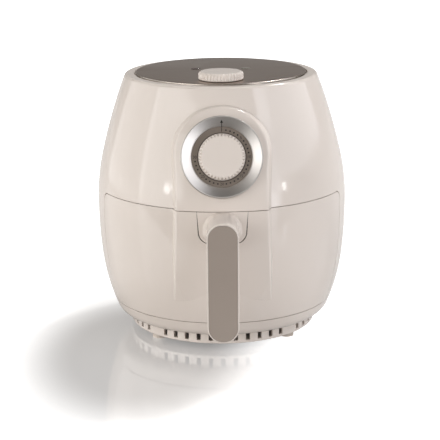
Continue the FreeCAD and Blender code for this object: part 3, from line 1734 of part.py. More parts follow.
def build_grate_slots(grate, level):
    """Rows of slots across the grate."""
    half_x = grate_reach
    half_y = grate_reach
    columns = dim.grate_columns
    slot_long = (2 * half_x - (columns - 1) * dim.grate_web) / columns
    slot_wide = dim.grate_width
    first = box(-half_x, -half_y, slot_long - half_x, slot_wide - half_y)
    cut = pocket(grate, new_sketch(grate, "top", [first], level=level + dim.sheet + 1), 5)
    pattern = grate.newObject("PartDesign::LinearPattern", "Slots")
    pattern.Originals = [cut]
    axes = {item.Role: item for item in grate.Origin.OriginFeatures}
    pattern.Direction = (axes["X_Axis"], [""])
    pattern.Direction2 = (axes["Y_Axis"], [""])
    bind(pattern, "Length", 2 * half_x - slot_long)
    bind(pattern, "Length2", 2 * half_y - slot_wide)
    bind(pattern, "Occurrences", dim.grate_columns)
    bind(pattern, "Occurrences2", dim.grate_rows)
    grate.Tip = pattern
    doc.recompute()


def build_strap():
    strap = new_body("basket_bracket")
    thick = dim.strap_thick
    low = dim.pan_top + dim.strap_lift
    high = low + thick
    near_face = basket_front
    far_face = tongue_back
    profile = [
        (near_face, strap_rivet - dim.strap_flange),
        (near_face + thick, strap_rivet - dim.strap_flange),
        (near_face + thick, low),
        (far_face - thick, low),
        (far_face - thick, strap_screw - dim.strap_flange),
        (far_face, strap_screw - dim.strap_flange),
        (far_face, high),
        (near_face, high),
    ]
    pad(strap, new_sketch(strap, "side", [profile]), 2 * dim.strap_half, both=True)
    radius = dim.screw_radius + dim.fit_gap
    rivet_points = [(side * dim.strap_hole, strap_rivet) for side in (-1, 1)]
    screw_spots = [(side * dim.strap_hole, strap_screw) for side in (-1, 1)]
    rivet_rings = [(point, radius) for point in rivet_points]
    rivet_holes = new_sketch(strap, "front", circles=rivet_rings, level=near_face - 1)
    pocket(strap, rivet_holes, 4, reverse=True)
    screw_rings = [(point, radius) for point in screw_spots]
    screw_holes = new_sketch(strap, "front", circles=screw_rings, level=far_face - 5)
    pocket(strap, screw_holes, 8, reverse=True)
    place(strap)
    screw_set("tongue_screws", screw_spots, "front", far_face - thick, dim.tongue_screw)
    rivet_length = dim.sheet + thick + dim.rivet_end
    screw_set("basket_rivets", rivet_points, "front", near_face - dim.sheet, rivet_length)


# The origin is under the middle of the whole object, handle included
axis_shift = (grip_front + dim.inlay_proud - dim.belly_radius) / 2

housing = build_housing()
place(housing)
drawer_front = build_drawer_front()
place(drawer_front)
for piece in build_handle():
    place(piece)
build_dial()
build_top()
build_base()
build_chamber()
build_heater()
build_fan("convection_fan", fan_radius, fan_height, dim.blade_height, dim.blade_count, True)
build_fan("cooling_fan", dim.cooler_radius, cooler_height, dim.blade_height, dim.cooler_blades, False)
build_motor()
build_rear()
build_pan()
build_basket()
build_strap()
doc.recompute()

for item in doc.Objects:
    if "Invalid" in item.State or "Error" in item.State:
        raise RuntimeError("%s (%s) did not build" % (item.Name, item.Label))
os.makedirs("parts", exist_ok=True)
for body in parts:
    if body.Shape.isNull() or not body.Shape.isValid():
        raise RuntimeError("bad shape: " + body.Label)
    body.Shape.exportStep("parts/%s.step" % body.Label)
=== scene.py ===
import json
import math
from collections import namedtuple

import bmesh
import bpy
from mathutils import Matrix, Vector
from mathutils.bvhtree import BVHTree

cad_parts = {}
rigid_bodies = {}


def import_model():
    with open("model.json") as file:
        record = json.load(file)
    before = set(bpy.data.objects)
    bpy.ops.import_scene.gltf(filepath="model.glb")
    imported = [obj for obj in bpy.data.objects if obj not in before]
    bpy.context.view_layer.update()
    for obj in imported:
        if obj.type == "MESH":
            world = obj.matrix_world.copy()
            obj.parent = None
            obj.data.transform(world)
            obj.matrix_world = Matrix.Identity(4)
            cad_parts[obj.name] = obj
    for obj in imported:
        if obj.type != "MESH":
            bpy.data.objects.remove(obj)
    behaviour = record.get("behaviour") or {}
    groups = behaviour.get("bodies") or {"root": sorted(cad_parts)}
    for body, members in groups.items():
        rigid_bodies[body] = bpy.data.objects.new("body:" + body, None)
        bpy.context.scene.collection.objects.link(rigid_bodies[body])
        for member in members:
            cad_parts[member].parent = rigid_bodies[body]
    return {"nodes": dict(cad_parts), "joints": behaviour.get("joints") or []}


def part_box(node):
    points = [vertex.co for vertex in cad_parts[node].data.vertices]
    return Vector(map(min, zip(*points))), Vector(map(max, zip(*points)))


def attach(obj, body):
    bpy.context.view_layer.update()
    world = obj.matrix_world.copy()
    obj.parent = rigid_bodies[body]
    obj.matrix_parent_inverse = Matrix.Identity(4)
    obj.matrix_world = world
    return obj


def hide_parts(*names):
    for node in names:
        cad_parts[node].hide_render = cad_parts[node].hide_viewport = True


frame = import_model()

bl_info = {
    "name": "Hot-air fryer",
    "version": (1, 0, 0),
    "blender": (4, 5, 0),
    "location": "View3D > Sidebar > Fryer",
    "description": "Finishes the CAD frame of a hot-air fryer with a pull-out drawer",
    "category": "Add Mesh",
}

MM = 0.001
MATH = "ShaderNodeMath"
# Points nearer than this, in metres, become one
MERGE_REACH = 1e-6
# Segments of a turned shape: for each rib, and round a plain ring
RIB_SEGMENTS = 16
RING_SEGMENTS = 192

# What a new Blender file holds is removed before the CAD box is measured
for leftover in [item for item in bpy.data.objects if item.name in ("Cube", "Light", "Camera")]:
    bpy.data.objects.remove(leftover)
bpy.context.view_layer.update()


def linear(colour):
    """Linear RGB from an sRGB hex value."""
    parts = [int(colour[place:place + 2], 16) / 255 for place in (0, 2, 4)]
    return tuple(part / 12.92 if part <= 0.04045 else ((part + 0.055) / 1.055) ** 2.4 for part in parts)


def joint_named(name):
    """A joint of the frame."""
    return next(joint for joint in frame["joints"] if joint["name"] == name)


# The body axis stands upright in the middle of the top plate
axis_y = sum(corner.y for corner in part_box("top_plate")) / 2
timer_joint = joint_named("timer_turn")
dial_out = -Vector(timer_joint["axis"]).normalized()
dial_right = Vector((1, 0, 0))

# Dial frame: X to the right, Y up the tilted face, Z out of it
DIAL = Matrix((dial_right, dial_out.cross(dial_right), dial_out)).transposed().to_4x4()
DIAL.translation = Vector(timer_joint["pos_m"])
TO_DIAL = DIAL.inverted()


def length(name, text, value):
    """A length whose default is given in millimetres."""
    return bpy.props.FloatProperty(name=name, description=text, default=value * MM, unit="LENGTH",
                                   precision=5)


def degrees(name, text, value):
    """An angle whose default is given in degrees."""
    return bpy.props.FloatProperty(name=name, description=text, default=math.radians(value),
                                   subtype="ANGLE")


def number(name, text, value):
    """A share or a strength."""
    return bpy.props.FloatProperty(name=name, description=text, default=value)


def tally(name, text, value):
    """A count."""
    return bpy.props.IntProperty(name=name, description=text, default=value, min=1)


def tint(name, text, value):
    """A colour whose default is given as an sRGB hex value."""
    return bpy.props.FloatVectorProperty(name=name, description=text, default=linear(value), size=3,
                                         min=0.0, max=1.0, subtype="COLOR")


class FryerColours(bpy.types.PropertyGroup):
    """Colours of the finishes."""

    body: tint("Body", "Moulded ABS of the housing, base, drawer, handle and knobs", "E5DBD2")
    foot: tint("Feet", "Soft elastomer under the base", "DDD2C6")
    inlay: tint("Grip inlay", "Satin paint on the grip", "A3978D")
    plate: tint("Top plate", "Brushed steel of the top plate", "A29286")
    # The plate edge is lighter than the plate partly for its polish, partly as a painted highlight
    edge: tint("Plate edge", "Polished edge of the top plate", "A79F97")
    bezel: tint("Bezel", "Spun aluminium round the dial", "C4C0BC")
    scale: tint("Dial scale", "Anodised ring with the minute marks", "857B72")
    # The ink also colours the painted shadow ring round the timer knob
    ink: tint("Dial print", "Printed dots and numerals", "1A1512")
    inside: tint("Dark ABS", "Front frame, inner cover, grille, gland, controls and cooling fan", "2B2825")
    coating: tint("Non-stick coat", "Pan, basket and grate", "343230")
    chamber: tint("Chamber sheet", "Aluminised steel round the drawer", "B4B2AE")
    zinc: tint("Zinc plating", "Screws, clips, bracket and shafts", "BDBFC2")
    heater: tint("Heater tube", "Steel tube browned by heat", "4A443E")
    fan: tint("Fan", "Stamped aluminium", "C6C6C4")
    motor: tint("Motor", "Painted motor case", "4B4D50")
    brass: tint("Brass", "Turned brass nut", "C9A25A")
    heat_lens: tint("Heat lamp", "Lens of the heat lamp", "4A1A12")
    power_lens: tint("Power lamp", "Lens of the power lamp", "B5B1A4")


class FryerSizes(bpy.types.PropertyGroup):
    """Sizes of what is added to the CAD frame."""

    knob_radius: length("Knob radius", "Outer radius of a knob", 20.0)
    knob_height: length("Knob height", "Height of a knob over its lower edge", 6.6)
    knob_round: length("Knob edge", "Rounding between the side and the top of a knob", 3.0)
    knob_cavity: length("Knob cavity", "Radius of the hollow under a knob", 12.0)
    knob_roof: length("Knob roof", "Height of the hollow under a knob", 4.0)
    knob_boss: length("Knob boss", "Radius of the boss that takes the spindle", 6.0)
    knob_boss_low: length("Boss end", "Height of the boss end over the lower edge", 2.6)
    knob_bore: length("Knob bore", "Radius of the spindle bore", 3.05)
    knob_bore_top: length("Bore end", "Height of the bore end over the lower edge", 5.0)
    knob_lip: length("Knob lip", "Small chamfer at the lower edge", 0.3)
    knob_flange: length("Knob flange", "Height of the plain edge under the ribs", 1.1)
    groove_start: length("Groove start", "Height over which a groove starts above the plain edge", 0.3)
    timer_groove: length("Timer grooves", "Depth of the grooves of the timer knob", 1.7)
    temperature_groove: length("Temperature grooves", "Depth of the grooves of the temperature knob", 0.9)
    groove_fade: length("Groove fade", "Width over which a groove runs out on the rounded edge", 3.8)
    ribs: tally("Ribs", "Ribs round a knob", 40)
    dot_radius: length("Dot radius", "Radius of a minute dot", 0.72)
    dot_circle: length("Dot circle", "Distance of the dots from the dial axis", 23.1)
    # The dark ring round the knob is painted shadow: ink where the gap round the knob is in shade
    ring_gap: length("Ring gap", "Gap between the knob and the dark ring round it", 0.35)
    ring_width: length("Ring width", "Width of the dark ring round the knob", 0.5)
    print_height: length("Print height", "Thickness of the print film", 0.03)
    numeral_height: length("Numeral height", "Height of the dial numerals", 2.5)
    index_inner: length("Index start", "Where the index line starts, from the dial axis", 21.6)
    index_outer: length("Index end", "Where the index line ends, from the dial axis", 29.0)
    index_width: length("Index width", "Width of the index line", 0.6)
    arrow_end: length("Arrow end", "Where the arrow over the index line ends", 31.6)
    arrow_width: length("Arrow width", "Width of the arrow", 2.6)
    minutes: tally("Minutes", "Minutes on the dial", 30)
    minute_step: degrees("Minute step", "Angle from one minute to the next", 9)
    numeral_step: tally("Numeral step", "Minutes from one numeral to the next", 5)
    plate_edge: length("Plate edge", "Radius outside which the plate is turned down", 70.0)
    plate_bend: length("Plate bend", "Depth under the plate's top where the turned edge shines", 0.12)
    bezel_edge: length("Bezel edge", "Rounding of the bezel's outer edge", 0.7)
    bezel_rim: length("Bezel rim", "Flat rim between the rounding and the cone", 0.3)
    screw_head: length("Screw head", "Radius of a screw head", 2.8)
    screw_rise: length("Head height", "Height of a screw head", 1.8)
    screw_shank: length("Screw shank", "Radius of a screw shank", 1.5)
    recess_length: length("Recess length", "Length of the cross recess", 3.2)
    recess_width: length("Recess width", "Width of the cross recess", 0.75)
    recess_depth: length("Recess depth", "Depth of the cross recess", 1.0)


class FryerStage(bpy.types.PropertyGroup):
    """Camera, floor and light."""

    distance: length("Camera distance", "Level distance of the camera from the body axis", 1303)
    height: length("Camera height", "Height of the camera over the floor", 443.7)
    pitch: degrees("Camera pitch", "How far the camera looks down", 14.85)
    roll: degrees("Camera roll", "How far the camera leans to one side", 0.515)
    azimuth: degrees("Camera azimuth", "How far the camera stands to the left of the front", 0.17)
    pan: degrees("Camera pan", "How far the camera looks to the left of the body axis", 0.083)
    lens: bpy.props.FloatProperty(name="Lens", description="Focal length", default=117.3, unit="CAMERA")
    floor: tint("Floor", "White acrylic sheet under the object", "C6C4C2")
    floor_front: length("Floor front", "Where the sheet ends in front of the body axis", 310)
    # The dim spot is painted shadow: the sheet's own glow is weakest where the shadow falls forward to the
    # left
    dim_side: length("Dim spot sideways", "Where the floor glows least, to the right of the axis", -74)
    dim_front: length("Dim spot forward", "Where the floor glows least, in front of the axis", 90)
    dim_wide: length("Dim spot width", "How far sideways from the spot the sheet turns clear white", 142)
    dim_deep: length("Dim spot depth", "How far forward from the spot the sheet turns clear white", 240)
    dim_core: number("Dim core", "Share of the dim spot's reach over which the sheet glows least", 0.4)
    glass_near: length("Glass start", "Distance from the dim spot where the glass starts to run out", 340)
    glass_far: length("Glass end", "Distance from the dim spot where the glass ends", 600)
    # Glow of the sheet in the painted shadow's core, and far off where it turns white
    glow_near: number("Near glow", "Light the sheet itself gives the camera near the object", 0.27)
    glow_far: number("Far glow", "Light the sheet itself gives the camera far away", 1.25)
    studio: tint("Studio light", "Colour of the light from the studio", "FFFAF5")
    cool: tint("Cool light", "Colour of the soft box and the strips on the right", "F7F9FF")
    sky: number("Sky", "Strength of the studio light from above", 0.2)
    fill: number("Fill", "Strength of the fill light at its middle", 0.82)
    fill_bearing: degrees("Fill bearing", "How far to the left of the front the fill stands", 22)
    wall: number("Wall", "Sine of the angle up to which the white wall behind reaches", 0.02)
    mirror: number("Mirrored white", "Share of the white floor and wall that shiny surfaces show", 0.32)
    ceiling: number("Ceiling", "Share of white that metal and glass see above the wall", 0.4)
    ground: number("Ground", "Strength of the studio below the table", 0.25)


def add(tree, kind, links=None, **settings):
    """Add a node. links gives each input what it follows, which is a socket, a node's first output or a
    list of these, or else the value that it holds."""
    node = tree.nodes.new(kind)
    for name, value in settings.items():
        setattr(node, name, value)
    for name, value in (links or {}).items():
        for source in value if isinstance(value, list) else [value]:
            if isinstance(source, bpy.types.Node):
                source = source.outputs[0]
            if isinstance(source, bpy.types.NodeSocket):
                tree.links.new(source, node.inputs[name])
            else:
                node.inputs[name].default_value = source
    return node


def lit(colour, amount):
    """The colour made darker or lighter, with full alpha."""
    return (*[min(1.0, part * amount) for part in colour], 1.0)


def surface(name, colour, swing, cloud, rough, grain, relief, draw=(1, 1, 1), streak=0.0, spun=None,
            tangent=None, **values):
    """A material whose colour drifts in clouds and whose polish and relief follow a fine grain.

    swing: share by which the colour drifts. cloud, grain: sizes in millimetres. rough: lowest and highest
    roughness. relief: height of the grain in millimetres. draw: stretch of the grain along X, Y and Z.
    streak: share of the colour drift that follows the grain. spun: UV map that the grain follows.
    tangent: UV map whose U is the brushing direction. values: constants on the shader's own sockets."""
    material = bpy.data.materials.get(name)
    if material:
        return material
    material = bpy.data.materials.new(name)
    material.use_nodes = True
    tree = material.node_tree
    shader = tree.nodes["Principled BSDF"]
    for socket, value in values.items():
        shader.inputs[socket.replace("_", " ")].default_value = value
    place = add(tree, "ShaderNodeTexCoord").outputs["Object"]
    drift = add(tree, "ShaderNodeTexNoise", {"Vector": place, "Scale": 1 / (cloud * MM), "Detail": 3.0})
    run = add(tree, "ShaderNodeUVMap", uv_map=spun) if spun else place
    drawn = add(tree, "ShaderNodeMapping", {"Vector": run, "Scale": draw})
    fine = add(tree, "ShaderNodeTexNoise", {"Vector": drawn, "Scale": 1 / (grain * MM), "Detail": 2.0})
    share = add(tree, "ShaderNodeMix", {0: streak, 2: drift, 3: fine})
    shades = {0: share, 6: lit(colour, 1 - swing), 7: lit(colour, 1 + swing)}
    base = add(tree, "ShaderNodeMix", shades, data_type="RGBA")
    # Most of the noise lies between these two values
    noise = {"Value": fine, "From Min": 0.3, "From Max": 0.7}
    polish = add(tree, "ShaderNodeMapRange", {**noise, "To Min": rough[0], "To Max": rough[1]})
    bump = add(tree, "ShaderNodeBump", {"Height": fine, "Strength": 1.0, "Distance": relief * MM})
    tree.links.new(base.outputs[2], shader.inputs["Base Color"])
    tree.links.new(polish.outputs[0], shader.inputs["Roughness"])
    tree.links.new(bump.outputs[0], shader.inputs["Normal"])
    if tangent:
        brush = add(tree, "ShaderNodeTangent", direction_type="UV_MAP", uv_map=tangent)
        tree.links.new(brush.outputs[0], shader.inputs["Tangent"])
    return material


def colours():
    """The colours set in the scene."""
    return bpy.context.scene.fryer_colours


def gloss_abs():
    """ABS from a polished mould: clear reflections with a trace of waviness, nearly even colour."""
    return surface("abs_polished_mould", colours().body, 0.02, 70, (0.09, 0.15), 6, 0.006, IOR=1.53)


def dark_abs():
    """Dark ABS from an eroded mould: matt, with a fine grain. Real grain is 0.2 mm, drawn at 0.7 mm to
    show."""
    return surface("abs_grained_mould", colours().inside, 0.12, 25, (0.42, 0.6), 0.7, 0.03, IOR=1.53)


def foot_elastomer():
    """Pale moulded elastomer: dull, softly mottled."""
    return surface("elastomer_moulded", colours().foot, 0.06, 8, (0.5, 0.68), 1.0, 0.03, IOR=1.5)


def inlay_paint():
    """Metallic satin paint: a soft broad sheen with a faint sparkle of flakes, drawn at 0.6 mm to show."""
    return surface("paint_satin_metallic", colours().inlay, 0.05, 30, (0.34, 0.44), 0.6, 0.008, streak=0.6,
                   Metallic=0.1)


def zinc_steel():
    """Zinc-plated steel: bright grey with cloudy patches."""
    return surface("steel_zinc_plated", colours().zinc, 0.1, 5, (0.24, 0.4), 1.2, 0.01, Metallic=1.0)


def chamber_sheet():
    """Hot-dip aluminised sheet: soft grey shine with blotches and faint rolling lines up the sheet."""
    return surface("steel_aluminised_rolled", colours().chamber, 0.12, 9, (0.26, 0.42), 0.9, 0.01,
                   draw=(1, 1, 0.05), streak=0.3, Metallic=1.0)


def coated_steel():
    """Sprayed non-stick coat: dark, half-gloss, with a light orange-peel and pale speckle."""
    return surface("steel_nonstick_sprayed", colours().coating, 0.22, 1.4, (0.3, 0.44), 1.1, 0.025,
                   streak=0.5, IOR=1.38)


def heater_steel():
    """Heater tube browned by heat: dull metal that drifts from grey to brown."""
    return surface("steel_tube_oxidised", colours().heater, 0.35, 14, (0.38, 0.55), 1.0, 0.012, Metallic=0.8)


def fan_sheet():
    """Stamped aluminium: bright, with fine rolling lines."""
    return surface("aluminium_stamped", colours().fan, 0.06, 12, (0.28, 0.42), 0.6, 0.008, draw=(1, 0.04, 1),
                   streak=0.5, Metallic=1.0)


def motor_paint():
    """Baked enamel on the motor case: dark half-gloss with slight orange-peel."""
    return surface("enamel_baked", colours().motor, 0.1, 20, (0.3, 0.45), 2.0, 0.02, IOR=1.5)


def brass():
    """Turned brass: warm and bright with fine turning marks."""
    return surface("brass_turned", colours().brass, 0.08, 6, (0.18, 0.3), 0.5, 0.006, draw=(1, 1, 6),
                   Metallic=1.0)


def plate_steel():
    """Brushed steel: fine lines from side to side that spread highlights across them. Real lines are about
    0.1 mm wide, drawn at 0.8 mm to show."""
    return surface("steel_brushed", colours().plate, 0.03, 60, (0.28, 0.34), 0.8, 0.002, draw=(0.02, 1, 1),
                   streak=0.6, tangent="brush", Metallic=1.0, Anisotropic=0.6)


def edge_steel():
    """Polished steel on the turned edge of the plate, lighter than the brushed top: partly its polish,
    partly a painted highlight along the edge.
    """
    return surface("steel_polished", colours().edge, 0.03, 30, (0.2, 0.28), 2, 0.002, Metallic=1.0)


def bezel_aluminium():
    """Spun aluminium: fine rings round the dial that fan highlights out from the axis. Real rings are about
    0.1 mm apart, drawn at 0.6 mm to show."""
    return surface("aluminium_spun", colours().bezel, 0.05, 40, (0.3, 0.4), 0.6, 0.006, draw=(0, 1, 1),
                   streak=0.8, spun="turning", tangent="turning", Metallic=1.0, Anisotropic=0.7)


def scale_aluminium():
    """Anodised aluminium ring: satin grey, slightly blotched."""
    return surface("aluminium_anodised", colours().scale, 0.05, 10, (0.36, 0.46), 0.7, 0.005, Metallic=0.7)


def print_ink():
    """Screen-print ink: flat dark film with uneven cover."""
    return surface("ink_screen_printed", colours().ink, 0.15, 1.5, (0.5, 0.65), 0.6, 0.004, IOR=1.5)


def lens(name, colour):
    """Clear tinted plastic: shiny and deep."""
    return surface(name, colour, 0.08, 4, (0.05, 0.1), 3, 0.004, IOR=1.49, Transmission_Weight=0.5)


def dress(material, *names):
    """Give CAD nodes a material."""
    for name in names:
        node = frame["nodes"][name]
        node.data.materials.clear()
        node.data.materials.append(material)


def new_piece(name, mesh, body, replaced=()):
    """A finished piece on its body."""
    mesh.name = name
    piece = bpy.data.objects.new(name, mesh)
    bpy.context.scene.collection.objects.link(piece)
    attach(piece, body)
    if replaced:
        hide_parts(*replaced)


def smooth(mesh, angle, outward=False):
    """Merge doubles and shade smooth up to the angle between faces, in degrees."""
    work = bmesh.new()
    work.from_mesh(mesh)
    bmesh.ops.remove_doubles(work, verts=work.verts, dist=MERGE_REACH)
    if outward:
        bmesh.ops.recalc_face_normals(work, faces=work.faces)
    work.to_mesh(mesh)
    work.free()
    # Shading that came with the mesh would overrule the new one
    for spare in ("custom_normal", "sharp_edge", "sharp_face"):
        if spare in mesh.attributes:
            mesh.attributes.remove(mesh.attributes[spare])
    mesh.shade_smooth()
    mesh.set_sharp_from_angle(angle=math.radians(angle))


def new_tree(name, inputs):
    """An empty geometry tree with the named inputs; returns it with the input node's sockets."""
    tree = bpy.data.node_groups.new(name, "GeometryNodeTree")
    tree.interface.new_socket("Geometry", in_out="INPUT", socket_type="NodeSocketGeometry")
    for label, kind in inputs.items():
        tree.interface.new_socket(label, in_out="INPUT", socket_type="NodeSocket" + kind)
    tree.interface.new_socket("Geometry", in_out="OUTPUT", socket_type="NodeSocketGeometry")
    return tree, add(tree, "NodeGroupInput").outputs


def end_tree(tree, given, geometry):
    """Close a tree: instances made real, material set."""
    real = add(tree, "GeometryNodeRealizeInstances", {"Geometry": geometry})
    made = add(tree, "GeometryNodeSetMaterial", {"Geometry": real, "Material": given["Material"]})
    add(tree, "NodeGroupOutput", {"Geometry": made})


def grown(points, tree, values, marks=None):
    """The plain mesh that a geometry tree makes from points; marks is one number for each point."""
    mesh = bpy.data.meshes.new(tree.name)
    mesh.from_pydata(points, [], [])
    if marks:
        mark = mesh.attributes.new("rib", "FLOAT", "POINT")
        mark.data.foreach_set("value", marks)
    holder = bpy.data.objects.new(tree.name, mesh)
    bpy.context.scene.collection.objects.link(holder)
    modifier = holder.modifiers.new(tree.name, "NODES")
    modifier.node_group = tree
    for socket in tree.interface.items_tree:
        if socket.in_out == "INPUT" and socket.name in values:
            modifier[socket.identifier] = values[socket.name]
    seen = holder.evaluated_get(bpy.context.evaluated_depsgraph_get())
    result = bpy.data.meshes.new_from_object(seen)
    bpy.data.objects.remove(holder)
    bpy.data.meshes.remove(mesh)
    if not result.polygons:
        raise RuntimeError(f"{tree.name} made no faces")
    return result


def polar(tree, angle, reach):
    """Cosine and sine of an angle, each times the reach."""
    waves = [add(tree, MATH, {0: angle}, operation=wave) for wave in ("COSINE", "SINE")]
    return [add(tree, MATH, {0: reach, 1: wave}, operation="MULTIPLY") for wave in waves]


def turned_tree():
    """Turned shape with ribs: the points, in order, are swept round Z, with grooves by their marks."""
    name = "turned_with_ribs"
    if name in bpy.data.node_groups:
        return bpy.data.node_groups[name]
    kinds = {"Segments": "Int", "Ribs": "Int", "Groove depth": "Float", "Material": "Material"}
    tree, given = new_tree(name, kinds)
    profile = given["Geometry"]
    count = add(tree, "GeometryNodeAttributeDomainSize", {"Geometry": profile}).outputs["Point Count"]
    columns = add(tree, MATH, {0: given["Segments"], 1: 1.0}, operation="ADD")
    sheet = add(tree, "GeometryNodeMeshGrid", {"Vertices X": columns, "Vertices Y": count})
    index = add(tree, "GeometryNodeInputIndex")
    row = add(tree, MATH, {0: index, 1: count}, operation="MODULO")
    share = add(tree, MATH, {0: index, 1: count}, operation="DIVIDE")
    column = add(tree, MATH, {0: share}, operation="FLOOR")
    part = add(tree, MATH, {0: column, 1: given["Segments"]}, operation="DIVIDE")
    angle = add(tree, MATH, {0: part, 1: math.tau}, operation="MULTIPLY")
    place = add(tree, "GeometryNodeInputPosition")
    mark = add(tree, "GeometryNodeInputNamedAttribute", {"Name": "rib"}, data_type="FLOAT")
    in_row = {"Geometry": profile, "Index": row}
    point = add(tree, "GeometryNodeSampleIndex", {**in_row, "Value": place}, data_type="FLOAT_VECTOR")
    rib = add(tree, "GeometryNodeSampleIndex", {**in_row, "Value": mark}, data_type="FLOAT")
    radial = add(tree, "ShaderNodeSeparateXYZ", {0: point}).outputs
    swing = add(tree, MATH, {0: angle, 1: given["Ribs"]}, operation="MULTIPLY")
    wave = add(tree, MATH, {0: swing}, operation="COSINE")
    lifted = add(tree, MATH, {0: wave, 1: 0.5, 2: 0.5}, operation="MULTIPLY_ADD")
    # A power over 1 keeps the ribs broader than the grooves
    groove = add(tree, MATH, {0: lifted, 1: 2.0}, operation="POWER")
    depth = add(tree, MATH, {0: groove, 1: given["Groove depth"]}, operation="MULTIPLY")
    cut = add(tree, MATH, {0: depth, 1: rib}, operation="MULTIPLY")
    reach = add(tree, MATH, {0: radial["X"], 1: cut}, operation="SUBTRACT")
    across, along = polar(tree, angle, reach)
    swept = add(tree, "ShaderNodeCombineXYZ", {0: across, 1: along, 2: radial["Z"]})
    moved = add(tree, "GeometryNodeSetPosition", {"Geometry": sheet, "Position": swept})
    joined = add(tree, "GeometryNodeMergeByDistance", {"Geometry": moved, "Distance": MERGE_REACH})
    end_tree(tree, given, joined)
    return tree


def turned_ring(profile, material, station):
    """A plain turned ring from a closed section, set on its station."""
    values = {"Segments": RING_SEGMENTS, "Ribs": 1, "Groove depth": 0.0, "Material": material}
    mesh = grown(profile, turned_tree(), values)
    mesh.transform(station)
    smooth(mesh, 25, outward=True)
    return mesh


def marks_tree():
    """Round marks on a circle, clockwise from the top, without every so many."""
    kinds = {"Marks": "Int", "Step": "Float", "Leave out every": "Int", "Circle": "Float",
             "Radius": "Float", "Height": "Float", "Material": "Material"}
    tree, given = new_tree("marks_on_dial", kinds)
    line = add(tree, "GeometryNodeMeshLine", {"Count": given["Marks"]})
    index = add(tree, "GeometryNodeInputIndex")
    angle = add(tree, MATH, {0: index, 1: given["Step"]}, operation="MULTIPLY")
    up, across = polar(tree, angle, given["Circle"])
    spot = add(tree, "ShaderNodeCombineXYZ", {0: across, 1: up})
    spread = add(tree, "GeometryNodeSetPosition", {"Geometry": line, "Position": spot})
    rest = add(tree, MATH, {0: index, 1: given["Leave out every"]}, operation="MODULO")
    sides = {"Vertices": 20, "Radius": given["Radius"], "Depth": given["Height"]}
    dot = add(tree, "GeometryNodeMeshCylinder", sides)
    places = {"Points": spread, "Selection": rest, "Instance": dot}
    end_tree(tree, given, add(tree, "GeometryNodeInstanceOnPoints", places))
    return tree


def screws_tree():
    """Cross-head screws on seats: head over the seat along Z, shank under it, then turned as one."""
    lengths = ("Head radius", "Head height", "Shank radius", "Shank length", "Recess length", "Recess width",
               "Recess depth")
    kinds = {**dict.fromkeys(lengths, "Float"), "Turn": "Vector", "Material": "Material"}
    tree, given = new_tree("screws_on_seats", kinds)
    head = given["Head radius"]
    rise = given["Head height"]
    shank_long = given["Shank length"]
    head_sides = 24
    shank_sides = 20
    # Shares of the head: height of its upright rim, and radius at the end of its cone
    rim_share = 0.4
    crown_share = 0.6

    def raised(shape, level):
        """The shape moved along Z."""
        place = add(tree, "ShaderNodeCombineXYZ", {2: level})
        return add(tree, "GeometryNodeTransform", {"Geometry": shape, "Translation": place})

    rim = add(tree, MATH, {0: rise, 1: rim_share}, operation="MULTIPLY")
    half_rim = add(tree, MATH, {0: rim, 1: 0.5}, operation="MULTIPLY")
    lower = add(tree, "GeometryNodeMeshCylinder", {"Vertices": head_sides, "Radius": head, "Depth": rim})
    crown = add(tree, MATH, {0: head, 1: crown_share}, operation="MULTIPLY")
    cone_high = add(tree, MATH, {0: rise, 1: rim}, operation="SUBTRACT")
    cone = {"Vertices": head_sides, "Radius Top": crown, "Radius Bottom": head, "Depth": cone_high}
    upper = add(tree, "GeometryNodeMeshCone", cone)
    halves = [raised(lower, half_rim), raised(upper, rim)]
    solid = add(tree, "GeometryNodeMeshBoolean", {"Mesh 2": halves}, operation="UNION")
    bar_high = add(tree, MATH, {0: given["Recess depth"], 1: 2.0}, operation="MULTIPLY")
    bars = []
    for wide, deep in (("Recess length", "Recess width"), ("Recess width", "Recess length")):
        sides = add(tree, "ShaderNodeCombineXYZ", {0: given[wide], 1: given[deep], 2: bar_high})
        bars.append(raised(add(tree, "GeometryNodeMeshCube", {"Size": sides}), rise))
    meshes = {"Mesh 1": solid, "Mesh 2": bars}
    recessed = add(tree, "GeometryNodeMeshBoolean", meshes, operation="DIFFERENCE")
    pin = {"Vertices": shank_sides, "Radius": given["Shank radius"], "Depth": shank_long}
    shank = add(tree, "GeometryNodeMeshCylinder", pin)
    drop = add(tree, MATH, {0: shank_long, 1: -0.5}, operation="MULTIPLY")
    screw = add(tree, "GeometryNodeJoinGeometry", {0: [recessed, raised(shank, drop)]})
    seats = {"Points": given["Geometry"], "Instance": screw, "Rotation": given["Turn"]}
    end_tree(tree, given, add(tree, "GeometryNodeInstanceOnPoints", seats))
    return tree


class FRYER_OT_moulding(bpy.types.Operator):
    """Finish the moulded outer pieces and the feet"""

    bl_idname = "fryer.moulding"
    bl_label = "Moulded body"

    def execute(self, context):
        dress(gloss_abs(), "housing", "base", "drawer_front", "handle")
        dress(foot_elastomer(), "feet")
        dress(inlay_paint(), "handle_inlay")
        dress(dark_abs(), "front_frame", "inner_cover", "vent_grille", "cord_gland")
        return {"FINISHED"}


